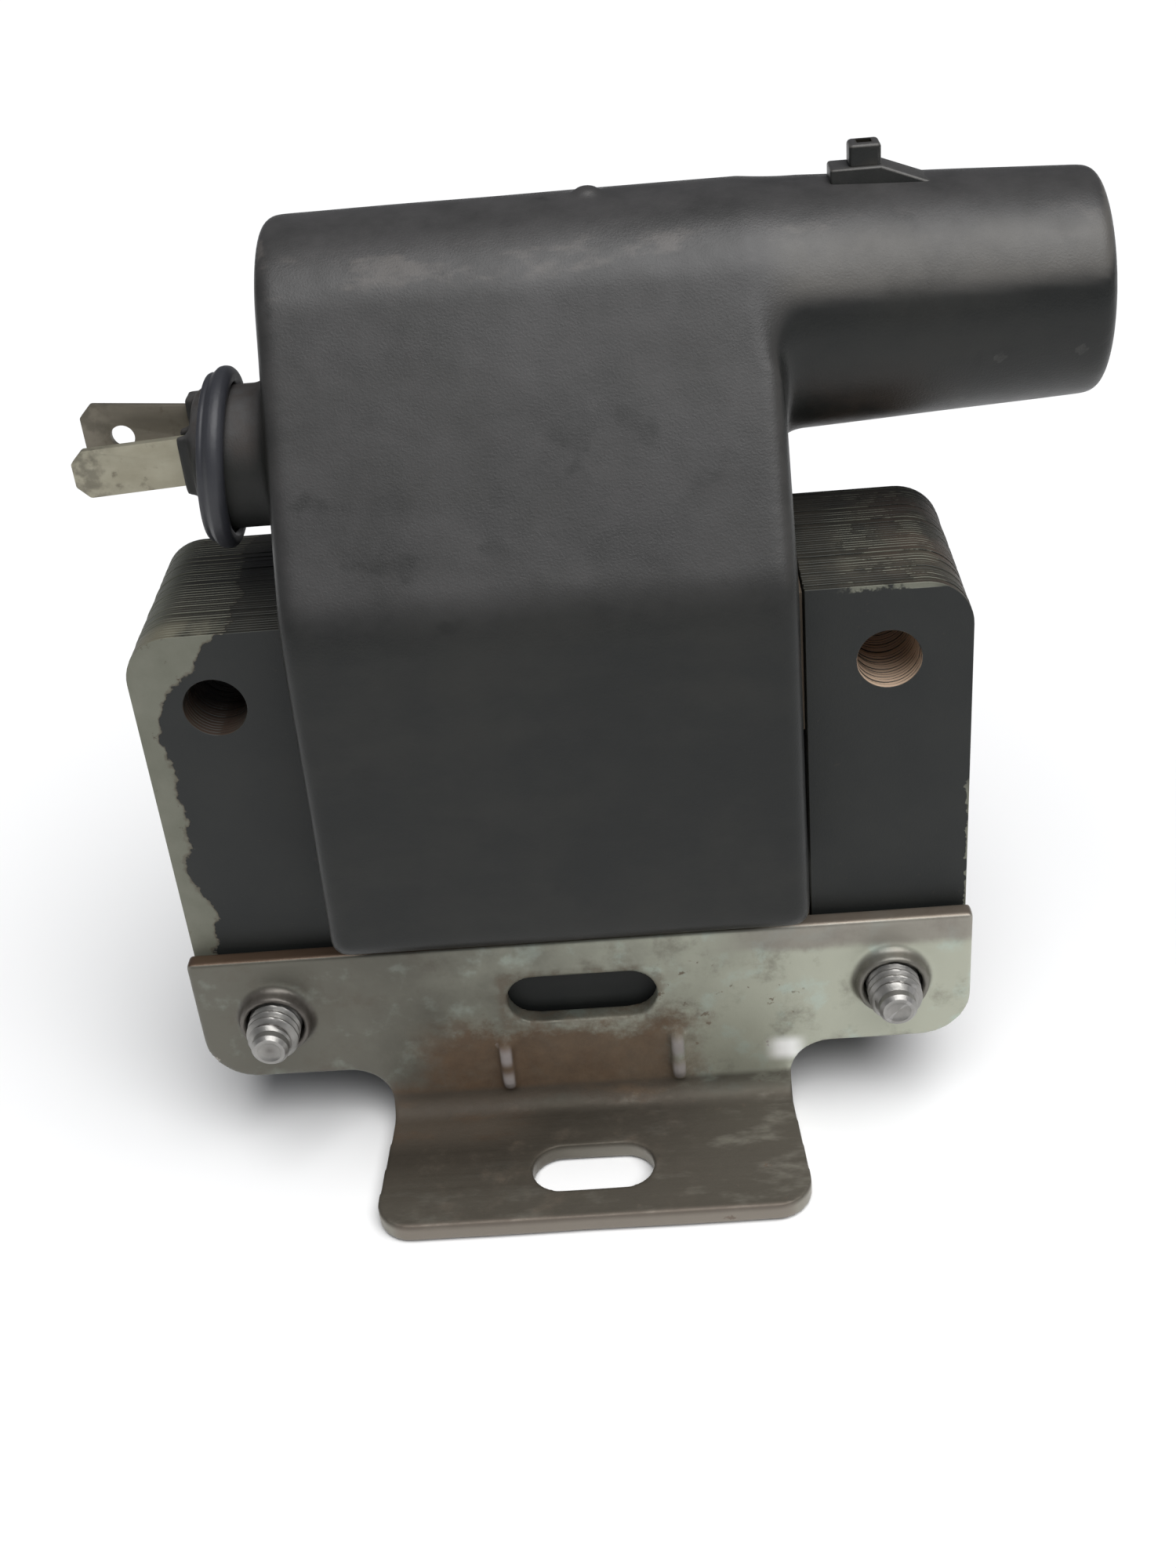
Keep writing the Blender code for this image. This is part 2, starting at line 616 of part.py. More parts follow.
def blade(name):
    """A flat tab with chamfered tip corners and a locking hole, tipped a little in its own plane."""
    y, tip_z, inner_z, width = BLADES[name]
    half = width / 2
    corners = [
        (BLADE_INNER_X, inner_z - half),
        (BLADE_INNER_X, inner_z + half),
        (BLADE_ROOT_X, inner_z + half),
        (BLADE_TIP_X + BLADE_CHAMFER, tip_z + half),
        (BLADE_TIP_X, tip_z + half - BLADE_CHAMFER),
        (BLADE_TIP_X, tip_z - half + BLADE_CHAMFER),
        (BLADE_TIP_X + BLADE_CHAMFER, tip_z - half),
        (BLADE_ROOT_X, inner_z - half),
    ]
    holes = []
    if name == "terminal_blade_rear":
        holes.append(circle((BLADE_HOLE_X, tip_z - BLADE_HOLE_DROP), BLADE_HOLE_RADIUS, 16))
    half_y = BLADE_THICKNESS / 2
    return outline(name, [corners, *holes], y - half_y, y + half_y, FACING_Y)


def connector_seal():
    """The rubber ring on the connector's boss, with a rounded rim."""
    inner = BOSS_RADIUS + GAP
    middle = sum(SEAL_X) / 2
    lip = (SEAL_X[1] - SEAL_X[0]) / 2
    rim = arc((SEAL_RADIUS - lip, middle), lip, 90, -90, 8)
    profile = [(inner, SEAL_X[1]), *rim, (inner, SEAL_X[0]), (inner, SEAL_X[1])]
    return turned("connector_seal", profile, Matrix.Translation((0, BOSS_Y, BOSS_Z)) @ AXIS_X, 32)


# Bracket and fasteners


def bent_sheet():
    """The bracket's sheet before it is trimmed: the plate, the bend and the flange as one profile along X."""
    centre = (PLATE_FRONT - BEND_RADIUS, FLANGE_UNDERSIDE + SHEET + BEND_RADIUS)
    outer = arc(centre, BEND_RADIUS + SHEET, 0, -90, 8)
    inner = arc(centre, BEND_RADIUS, -90, 0, 8)
    front = FLANGE_LIP - TRIM_REACH / 2
    loop = [(outer[0][0], PLATE_TOP), *outer, (front, outer[-1][1]), (front, inner[0][1]), *inner]
    loop.append((inner[-1][0], PLATE_TOP))
    return outline("mounting_bracket", [loop], -PLATE_HALF_X, PLATE_HALF_X, FACING_X)


def bracket_trims():
    """What is cut from the sheet: the plate's lower corners, the flange's outline and the two slots."""
    far = PLATE_HALF_X + TRIM_REACH
    low = FLANGE_UNDERSIDE - TRIM_REACH
    behind = TRIM_REACH
    trims = []
    for name, side in (("left", -1), ("right", 1)):
        corners = [
            (side * far, low, 0),
            (side * NECK_HALF_X, low, 0),
            (side * NECK_HALF_X, PLATE_BOTTOM, NECK_FILLET),
            (side * PLATE_HALF_X, PLATE_BOTTOM, PLATE_CORNER),
            (side * PLATE_HALF_X, -HOLE_Z, 0),
            (side * far, -HOLE_Z, 0),
        ]
        loop = rounded_outline(corners)
        ends = (PLATE_FRONT - PLATE_TRIM_FRONT, OVERCUT)
        trims.append(outline(f"plate_trim_{name}", [loop], *ends, FACING_Y, cutter=True))
    bend_y = PLATE_FRONT - BEND_RADIUS
    corners = [
        (-far, behind, 0),
        (-NECK_HALF_X, behind, 0),
        (-NECK_HALF_X, bend_y, 0),
        (-FLANGE_LIP_HALF_X, FLANGE_LIP, FLANGE_CORNER),
        (FLANGE_LIP_HALF_X, FLANGE_LIP, FLANGE_CORNER),
        (NECK_HALF_X, bend_y, 0),
        (NECK_HALF_X, behind, 0),
        (far, behind, 0),
        (far, FLANGE_LIP - TRIM_REACH, 0),
        (-far, FLANGE_LIP - TRIM_REACH, 0),
    ]
    top = FLANGE_UNDERSIDE + SHEET + BEND_RADIUS + GAP
    trims.append(outline("flange_trim", [rounded_outline(corners)], low, top, FACING_Z, cutter=True))
    ends = (FLANGE_UNDERSIDE - OVERCUT, FLANGE_UNDERSIDE + SHEET + OVERCUT)
    loop = slot((0, FLANGE_SLOT_Y), *FLANGE_SLOT)
    trims.append(outline("flange_slot", [loop], *ends, FACING_Z, cutter=True))
    ends = (PLATE_FRONT - OVERCUT, OVERCUT)
    trims.append(outline("plate_slot", [slot((0, -HOLE_Z), *PLATE_SLOT)], *ends, FACING_Y, cutter=True))
    return trims


def bracket():
    """The bent sheet with its slots, two stiffening ribs in the bend, and two drawn collars for the bolts."""
    sheet = bent_sheet()
    cut(sheet, *bracket_trims())
    for i, x in enumerate(RIB_X):
        loop = [(PLATE_FRONT - out, z) for out, z in RIB_OUTLINE]
        ends = (x - RIB_HALF_WIDTH, x + RIB_HALF_WIDTH)
        join(sheet, outline(f"rib_{i + 1}", [loop], *ends, FACING_X, cutter=True))
    back = PLATE_FRONT + SHEET / 2
    for side, x in (("left", -HOLE_X), ("right", HOLE_X)):
        at = (x, -HOLE_Z)
        join(sheet, rod(f"collar_{side}", COLLAR_RADIUS, COLLAR_FRONT, back, at, AXIS_Y, cutter=True))
        ends = (COLLAR_FRONT - OVERCUT, OVERCUT)
        cut(sheet, rod(f"collar_bore_{side}", COLLAR_BORE, *ends, at, AXIS_Y, cutter=True))
    return sheet


def bolt(name, x):
    """A hexagon-headed bolt from the back, whose thread ends in a pilot tip."""
    inside_head = BOLT_HEAD[0] + OVERCUT
    profile = [
        (0, inside_head),
        (BOLT_RADIUS, inside_head),
        (BOLT_RADIUS, BOLT_THREAD_END),
        (BOLT_TIP_RADIUS, BOLT_THREAD_END - BOLT_SHOULDER),
        (BOLT_TIP_RADIUS, BOLT_TIP + BOLT_TIP_CHAMFER),
        (BOLT_TIP_RADIUS - BOLT_TIP_CHAMFER, BOLT_TIP),
        (0, BOLT_TIP),
    ]
    made = turned(name, profile, Matrix.Translation((x, 0, -HOLE_Z)) @ AXIS_Y, 24)
    hexagon = circle((x, -HOLE_Z), BOLT_HEAD_RADIUS, 6)
    join(made, outline(name + "_head", [hexagon], *BOLT_HEAD, FACING_Y, cutter=True))
    return made


def washer(name, x):
    loops = [circle((x, -HOLE_Z), WASHER_RADIUS, 32), circle((x, -HOLE_Z), HOLE_RADIUS, 24)]
    return outline(name, loops, *WASHER, FACING_Y)


def dress(objects, finish):
    for obj in objects:
        obj.data.materials.clear()
        obj.data.materials.append(finish)


def main():
    stacks, shims = core_stacks()
    bobbins, primary, sections = windings()
    sides = (("left", -HOLE_X), ("right", HOLE_X))
    bolts = [bolt(f"core_bolt_{side}", x) for side, x in sides]
    washers = [washer(f"bolt_washer_{side}", x) for side, x in sides]
    dress(stacks, material("painted core steel", (0.05, 0.052, 0.05), 0.6, 0.2))
    dress(shims, material("shim board", (0.55, 0.45, 0.3), 0.8))
    dress([case()], material("moulded case plastic", (0.045, 0.047, 0.045), 0.6))
    dress([potting_compound()], material("potting resin", (0.03, 0.03, 0.032), 0.35))
    dress(bobbins, material("bobbin plastic", (0.75, 0.72, 0.62), 0.5))
    dress(primary, material("copper wire", (0.72, 0.32, 0.12), 0.35, 1.0))
    dress(sections, material("fine copper wire", (0.6, 0.25, 0.1), 0.4, 1.0))
    dress(leads(), material("lead wire", (0.7, 0.4, 0.2), 0.4, 1.0))
    dress([hv_terminal()], material("brass", (0.75, 0.6, 0.3), 0.3, 1.0))
    dress([blade(name) for name in BLADES], material("tinned steel", (0.55, 0.53, 0.42), 0.45, 1.0))
    dress([connector_seal()], material("rubber", (0.03, 0.03, 0.035), 0.7))
    dress([bracket()], material("zinc-plated sheet", (0.42, 0.43, 0.37), 0.5, 0.8))
    dress(bolts + washers, material("zinc-plated fastener", (0.45, 0.45, 0.43), 0.4, 0.9))

    origin = bpy.data.objects.new("bracket_origin", None)
    bpy.context.scene.collection.objects.link(origin)
    origin.location = ORIGIN
    for obj in [*PARTS.objects, *CUTTERS.objects]:
        obj.parent = origin


main()
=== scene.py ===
"""Looks of the ignition coil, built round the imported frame.

Shapes are drawn in millimetres from the front face and the mid-height of the core, and BASE moves them
into the frame. +X points along the tower, +Y to the coil's back and +Z up.
"""

import random
from contextlib import contextmanager
from math import asin, atan2, cos, degrees, pi, radians, sin, tau

import bmesh
import bpy
import numpy as np
from mathutils import Matrix, Vector, noise


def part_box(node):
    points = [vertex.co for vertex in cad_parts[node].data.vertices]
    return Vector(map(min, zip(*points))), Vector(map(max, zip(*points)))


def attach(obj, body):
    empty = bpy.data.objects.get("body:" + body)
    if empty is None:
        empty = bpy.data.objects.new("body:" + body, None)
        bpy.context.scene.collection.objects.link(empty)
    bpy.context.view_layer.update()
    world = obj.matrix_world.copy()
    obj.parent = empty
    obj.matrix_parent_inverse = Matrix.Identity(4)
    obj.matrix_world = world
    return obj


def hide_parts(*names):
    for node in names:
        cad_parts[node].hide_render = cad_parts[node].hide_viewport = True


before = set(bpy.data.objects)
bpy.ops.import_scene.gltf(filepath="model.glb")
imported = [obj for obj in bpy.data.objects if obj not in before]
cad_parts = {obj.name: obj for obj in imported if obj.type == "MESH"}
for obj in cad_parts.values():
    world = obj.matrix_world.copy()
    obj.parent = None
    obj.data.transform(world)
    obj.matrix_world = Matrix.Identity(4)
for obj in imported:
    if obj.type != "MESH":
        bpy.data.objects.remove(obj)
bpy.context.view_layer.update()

MM = 0.001
ROOT = "root"
WELD = 2e-3  # how close two points are, in millimetres, to be one after a cut


def node_box(name):
    """A CAD node's lowest and highest corners, in millimetres from the core's front face and mid-height."""
    low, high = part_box(name)
    return (low - BASE) / MM, (high - BASE) / MM


core_low, core_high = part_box("core_u_stack")
BASE = Vector((0, core_low.y, (core_low.z + core_high.z) / 2))
TO_FRAME = Matrix.Translation(BASE) @ Matrix.Scale(MM, 4)

# Core
_, U_HIGH = node_box("core_u_stack")
I_LOW, I_HIGH = node_box("core_i_stack")
CORE_HALF_X, CORE_HALF_Z, CORE_DEPTH = I_HIGH.x, U_HIGH.z, U_HIGH.y
CORE_LIMB = I_HIGH.x - I_LOW.x
WINDOW_X, WINDOW_Z = I_LOW.x, CORE_HALF_Z - CORE_LIMB
CORE_CORNER = 5.0
HOLE_X, HOLE_Z, HOLE_RADIUS = 33.5, 19.0, 3.2
SHEETS = 44
SHEET_GAP = 0.04

# Case
CASE_LOW, CASE_HIGH = node_box("case")
CASE_HALF_X = 24.3
CASE_FOOT = Vector((CASE_LOW.y, CASE_LOW.z))
CASE_KNEE = Vector((-8.0, 30.5))
CASE_BACK = 30.3
CASE_WALL = 1.8
CASE_FOOT_FILLET, CASE_KNEE_FILLET, CASE_END_ROUND = 2.2, 14.0, 1.7
RIDGE_Y, RIDGE_Z, RIDGE_RADIUS = 18.0, 49.2, 12.3
RIDGE_MARK_X = 7.2
RIDGE_MARK = [(0, 62.25), (0.7, 62.2), (1.35, 61.7), (1.6, 60.5), (0, 60.5)]  # radius and height
CAVITY_TOP = 47.0
LIMB_WAY_GAP = 0.4
LEAD_WAY_LOW = Vector((14, RIDGE_Y - 3.05, CAVITY_TOP - 1))
LEAD_WAY_HIGH = Vector((22, RIDGE_Y + 2.95, RIDGE_Z - 0.37))
TOWER_START, TOWER_END = CASE_HALF_X - 6, CASE_HIGH.x
TOWER_BASE_RADIUS, TOWER_END_RADIUS, TOWER_LIP = 12.1, 10.7, 1.5
SOCKET_FLOOR, SOCKET_RADIUS, SOCKET_FLOOR_RADIUS = 31.0, 7.2, 6.4
TERMINAL_WAY_START, TERMINAL_WAY_END, TERMINAL_WAY_RADIUS = 16.0, 32.0, 3.3
LUG_X, LUG_TOP, LUG_HALF_X, LUG_HALF_Y = 33.3, CASE_HIGH.z, 1.5, 1.3
LUG_RECESS = (0.7, 0.6, 1.2)  # half its size along X and Y, and its depth
LUG_PAD_X = (30.0, 34.9, 45.9)  # start, end of the flat top, foot of the ramp
LUG_PAD_TOP, LUG_PAD_HALF_Y, LUG_PAD_SPREAD = 62.2, 1.7, 0.3
BOSS_Y, BOSS_Z, BOSS_RADIUS, BOSS_START, BOSS_END = 10.0, 41.2, 6.9, -23.4, -31.8
SEAL_X, SEAL_HALF_X, SEAL_TILT = -29.9, 1.3, radians(6)
CASE_VOXEL = 0.38

# Blades and terminal
BLADE_INNER_X, BLADE_ROOT_X, BLADE_TIP_X, BLADE_CHAMFER = -21.3, -30.0, -43.9, 1.2
BLADE_HOLE_X, BLADE_HOLE_DROP, BLADE_HOLE_RADIUS = -40.1, 0.3, 1.2
BLADE_HALF_Y = 0.4
BLADES = {  # Y, the heights of the tip and the root, the width, and whether it has a hole
    "front": (7.0, 41.9, 42.6, 4.8, False),
    "rear": (13.0, 43.4, 42.3, 6.3, True),
}
BLADE_STEPS = (7.0, 42.3, 3.1), (13.0, 42.9, 3.9)  # Y, mid-height and half height
BLADE_WAYS = (7.0, 42.43, 3.0), (13.0, 42.58, 3.75)
STUD_RADIUS, STUD_SHOULDER, STUD_FOOT, STUD_GROOVES = 2.6, 40.5, 17.0, (39.6, 37.9)

# Resin
RESIN_SKIN, RESIN_FACE = 28.6, 29.45
RESIN_BLOCK_TOP, RESIN_BLOCK_BACK = 4.5, 29.0

# Bracket
BRACKET_LOW, BRACKET_HIGH = node_box("mounting_bracket")
SHEET = 2.2
PLATE_HALF_X = BRACKET_HIGH.x
PLATE_TOP = BRACKET_HIGH.z
PLATE_FRONT = -2.5
PLATE_BOTTOM = -27.4
PLATE_CORNER = 5.5
PLATE_SLOT = (16.4, 6.2)
NECK_HALF_X, NECK_FILLET = 22.4, 4.5
BEND_RADIUS = 2.0
FLANGE_UNDERSIDE = BRACKET_LOW.z
FLANGE_LIP, FLANGE_LIP_HALF_X, FLANGE_CORNER = BRACKET_LOW.y, 23.5, 4.0
FLANGE_SLOT_Y, FLANGE_SLOT = -13.0, (13.2, 6.6)
RIB_X, RIB_RADIUS = (-9.0, 10.0), 0.85
RIB_SPINE = (-2.1, -24.4), (-2.95, -25.4), (-3.0, -29.6), (-2.4, -30.6)
COLLAR_RADIUS, COLLAR_FRONT, COLLAR_BORE = 3.9, -4.2, 3.2
BRACKET_VOXEL = 0.26

# Fasteners
BOLT_LOW, BOLT_HIGH = node_box("core_bolt_left")
THREAD_PITCH, THREAD_DEPTH, THREAD_STEP = 1.0, 0.55, 0.08
THREAD_START, THREAD_END = 0.2, -6.6
BOLT_RADIUS, BOLT_TIP_RADIUS = 2.85, 2.0
BOLT_HEAD = (24.1, BOLT_HIGH.y)
BOLT_HEAD_RADIUS = 5.77
WASHER_LOW, WASHER_HIGH, WASHER_RADIUS = 22.6, 23.8, 6.2

FACING_Y = Matrix.Rotation(pi / 2, 4, "X")
FACING_X = Matrix.Rotation(pi / 2, 4, "Z") @ Matrix.Rotation(pi / 2, 4, "X")
FACING_Z = Matrix.Identity(4)
AXIS_X = Matrix.Rotation(pi / 2, 4, "Y")
AXIS_Y = Matrix.Rotation(-pi / 2, 4, "X")


# Shapes, in millimetres


def place(name, data):
    made = bpy.data.objects.new(name, data)
    bpy.context.scene.collection.objects.link(made)
    return made


@contextmanager
def edited(mesh):
    """A mesh opened for editing, and written back at the end."""
    shape = bmesh.new()
    shape.from_mesh(mesh)
    yield shape
    shape.to_mesh(mesh)
    shape.free()


def solid(name, points, faces):
    """A closed mesh from points and faces, with its faces turned outwards."""
    mesh = bpy.data.meshes.new(name)
    mesh.from_pydata([tuple(p) for p in points], [], faces)
    with edited(mesh) as shape:
        bmesh.ops.recalc_face_normals(shape, faces=shape.faces)
    return place(name, mesh)


def settle(obj):
    """Turns an object's modifiers into its mesh."""
    graph = bpy.context.evaluated_depsgraph_get()
    mesh = bpy.data.meshes.new_from_object(obj.evaluated_get(graph))
    old = obj.data
    obj.modifiers.clear()
    obj.data = mesh
    bpy.data.meshes.remove(old)
    return obj


def outline(name, loops, start, end, facing):
    """A plate between two planes. Its edge follows the first loop, and each further loop is a hole."""
    curve = bpy.data.curves.new(name, "CURVE")
    curve.dimensions = "2D"
    curve.fill_mode = "BOTH"
    curve.extrude = (end - start) / 2
    for loop in loops:
        spline = curve.splines.new("POLY")
        spline.points.add(len(loop) - 1)
        spline.use_cyclic_u = True
        for point, (u, v) in zip(spline.points, loop):
            point.co = (u, v, 0, 1)
    middle = (start + end) / 2 * (-1 if facing is FACING_Y else 1)
    guide = place(name + "_outline", curve)
    bpy.context.view_layer.update()
    graph = bpy.context.evaluated_depsgraph_get()
    mesh = bpy.data.meshes.new_from_object(guide.evaluated_get(graph))
    bpy.data.objects.remove(guide)
    mesh.transform(facing @ Matrix.Translation((0, 0, middle)))
    with edited(mesh) as shape:
        bmesh.ops.remove_doubles(shape, verts=shape.verts, dist=WELD / 2)
        bmesh.ops.recalc_face_normals(shape, faces=shape.faces)
    return place(name, mesh)


def rounded_prism(name, loop, half, radius, steps=6):
    """A convex outline in Y and Z, drawn out along X to both sides, with its end edges rounded."""
    count = len(loop)
    outward = []
    for i in range(count):
        before, here, after = Vector(loop[i - 1]), Vector(loop[i]), Vector(loop[(i + 1) % count])
        sides = [Vector((d.y, -d.x)).normalized() for d in (here - before, after - here)]
        middle = (sides[0] + sides[1]).normalized()
        outward.append(middle / max(0.5, middle.dot(sides[0])))
    area = sum(u * loop[(i + 1) % count][1] - v * loop[(i + 1) % count][0] for i, (u, v) in enumerate(loop))
    turn = 1 if area > 0 else -1
    sections = []
    for i in range(steps + 1):
        angle = pi / 2 * i / steps
        sections.append((half - radius + radius * sin(angle), radius * (1 - cos(angle))))
    rows = [(-x, inset) for x, inset in reversed(sections)] + sections
    points = []
    for x, inset in rows:
        points += [(x, u - n.x * turn * inset, v - n.y * turn * inset) for (u, v), n in zip(loop, outward)]
    faces = [tuple(range(count)), tuple((len(rows) - 1) * count + i for i in range(count))]
    for j in range(len(rows) - 1):
        for i in range(count):
            k = (i + 1) % count
            faces.append((j * count + i, j * count + k, (j + 1) * count + k, (j + 1) * count + i))
    return solid(name, points, faces)


def block(name, low, high):
    low, high = Vector(low), Vector(high)
    loop = [(low.x, low.y), (high.x, low.y), (high.x, high.y), (low.x, high.y)]
    return outline(name, [loop], low.z, high.z, FACING_Z)


def turned(name, profile, matrix, steps=64, radius_at=None):
    """A turned solid from (radius, height) points, from one end on the axis to the other.

    radius_at can change a ring's radius by its angle and height.
    """
    points, faces = [], []
    last = len(profile) - 1
    for i, (radius, height) in enumerate(profile):
        if i in (0, last):
            points.append((0, 0, height))
            continue
        for j in range(steps):
            angle = tau * j / steps
            r = radius_at(radius, angle, height) if radius_at else radius
            points.append((r * cos(angle), r * sin(angle), height))
    end = len(points) - 1
    for j in range(steps):
        after = (j + 1) % steps
        faces.append((0, 1 + j, 1 + after))
        for i in range(last - 2):
            a = 1 + i * steps
            faces.append((a + j, a + steps + j, a + steps + after, a + after))
        a = 1 + (last - 2) * steps
        faces.append((a + j, end, a + after))
    made = solid(name, points, faces)
    made.data.transform(matrix)
    return made


def ring(name, profile, matrix, steps=96):
    """A turned ring from a closed loop of (radius, height) points."""
    points, faces = [], []
    count = len(profile)
    for j in range(steps):
        angle = tau * j / steps
        points += [(r * cos(angle), r * sin(angle), h) for r, h in profile]
    for j in range(steps):
        a, b = j * count, (j + 1) % steps * count
        for i in range(count):
            k = (i + 1) % count
            faces.append((a + i, b + i, b + k, a + k))
    made = solid(name, points, faces)
    made.data.transform(matrix)
    return made


def at(x, y, z, axis=FACING_Z):
    return Matrix.Translation((x, y, z)) @ axis


def combine(target, others, operation):
    """Joins or cuts with one object at a time, and takes it away."""
    for other in others:
        boolean = target.modifiers.new(other.name, "BOOLEAN")
        boolean.operation = operation
        boolean.object = other
        settle(target)
        bpy.data.objects.remove(other)
        with edited(target.data) as shape:
            bmesh.ops.remove_doubles(shape, verts=shape.verts, dist=WELD)
            bmesh.ops.dissolve_degenerate(shape, edges=shape.edges, dist=WELD)
    return target


def bevel(obj, width, segments=3, angle=35):
    edges = obj.modifiers.new("Edges", "BEVEL")
    edges.width = width
    edges.segments = segments
    edges.limit_method = "ANGLE"
    edges.angle_limit = radians(angle)
    return settle(obj)


def remesh(obj, voxel):
    """An even skin over the object, which later smoothing can round."""
    skin = obj.modifiers.new("Skin", "REMESH")
    skin.mode = "VOXEL"
    skin.voxel_size = voxel
    return settle(obj)


def per_vertex(mesh, kind):
    flat = np.empty(len(mesh.vertices) * 3)
    mesh.vertices.foreach_get(kind, flat)
    return flat.reshape(-1, 3)


def move_to(mesh, points):
    mesh.vertices.foreach_set("co", points.ravel())
    mesh.update()


def soften(obj, steps, weight=None):
    """Rounds a dense mesh by moving each point towards its neighbours' middle."""
    mesh = obj.data
    points = per_vertex(mesh, "co")
    count = len(points)
    ends = np.empty(len(mesh.edges) * 2, np.int64)
    mesh.edges.foreach_get("vertices", ends)
    one, two = ends.reshape(-1, 2).T
    degree = np.bincount(one, minlength=count) + np.bincount(two, minlength=count)
    share = 0.5 if weight is None else 0.5 * np.clip(weight(points), 0, 1)[:, None]
    for _ in range(steps):
        total = np.stack(
            [
                np.bincount(one, points[two, i], count) + np.bincount(two, points[one, i], count)
                for i in range(3)
            ],
            axis=1,
        )
        points += share * (total / degree[:, None] - points)
    move_to(mesh, points)
    return obj


def wander(obj, size, height, seed):
    """Moves the surface in and out a little, as moulding and pressing leave it."""
    mesh = obj.data
    points = per_vertex(mesh, "co")
    shift = Vector((seed * 31.7, seed * 11.3, seed * 5.9))
    moves = np.array([noise.noise(Vector(p) / size + shift) for p in points])
    points += per_vertex(mesh, "normal") * (height * moves)[:, None]
    move_to(mesh, points)
    return obj


def join(name, parts):
    """One object from several, each keeping its own closed skin."""
    shape = bmesh.new()
    for part in parts:
        shape.from_mesh(part.data)
        bpy.data.objects.remove(part)
    mesh = bpy.data.meshes.new(name)
    shape.to_mesh(mesh)
    shape.free()
    return place(name, mesh)


def finished(obj, finish, nodes=(), angle=30):
    """Moves a shape into the frame, with its finish, and lets it stand for its CAD nodes."""
    mesh = obj.data
    mesh.transform(TO_FRAME)
    mesh.shade_smooth()
    mesh.set_sharp_from_angle(angle=radians(angle))
    mesh.materials.clear()
    mesh.materials.append(finish)
    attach(obj, ROOT)
    if nodes:
        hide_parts(*nodes)
    return obj


# Outlines


def arc(centre, radius, start, end, steps):
    angles = [radians(start + (end - start) * i / steps) for i in range(steps + 1)]
    return [(centre[0] + radius * cos(a), centre[1] + radius * sin(a)) for a in angles]


def circle(centre, radius, steps=48):
    return arc(centre, radius, 0, 360 * (steps - 1) / steps, steps - 1)


def slot(centre, length, height, steps=20):
    radius = height / 2
    reach = length / 2 - radius
    right = arc((centre[0] + reach, centre[1]), radius, -90, 90, steps)
    return right + arc((centre[0] - reach, centre[1]), radius, 90, 270, steps)


def fillet(corner, before, after, radius, steps=10):
    corner, before, after = Vector(corner), Vector(before), Vector(after)
    one, two = (before - corner).normalized(), (after - corner).normalized()
    half = one.angle(two) / 2
    centre = corner + (one + two).normalized() * (radius / sin(half))
    first = corner + one * (radius * cos(half) / sin(half)) - centre
    last = corner + two * (radius * cos(half) / sin(half)) - centre
    turn = first.angle_signed(last)
    made = []
    for i in range(steps + 1):
        spoke = first.copy()
        spoke.rotate(Matrix.Rotation(-turn * i / steps, 2))
        made.append(tuple(centre + spoke))
    return made


def rounded_outline(corners, steps=10):
    made = []
    for i, (u, v, radius) in enumerate(corners):
        before, after = corners[i - 1][:2], corners[(i + 1) % len(corners)][:2]
        made += fillet((u, v), before, after, radius, steps) if radius else [(u, v)]
    return made


# Finishes


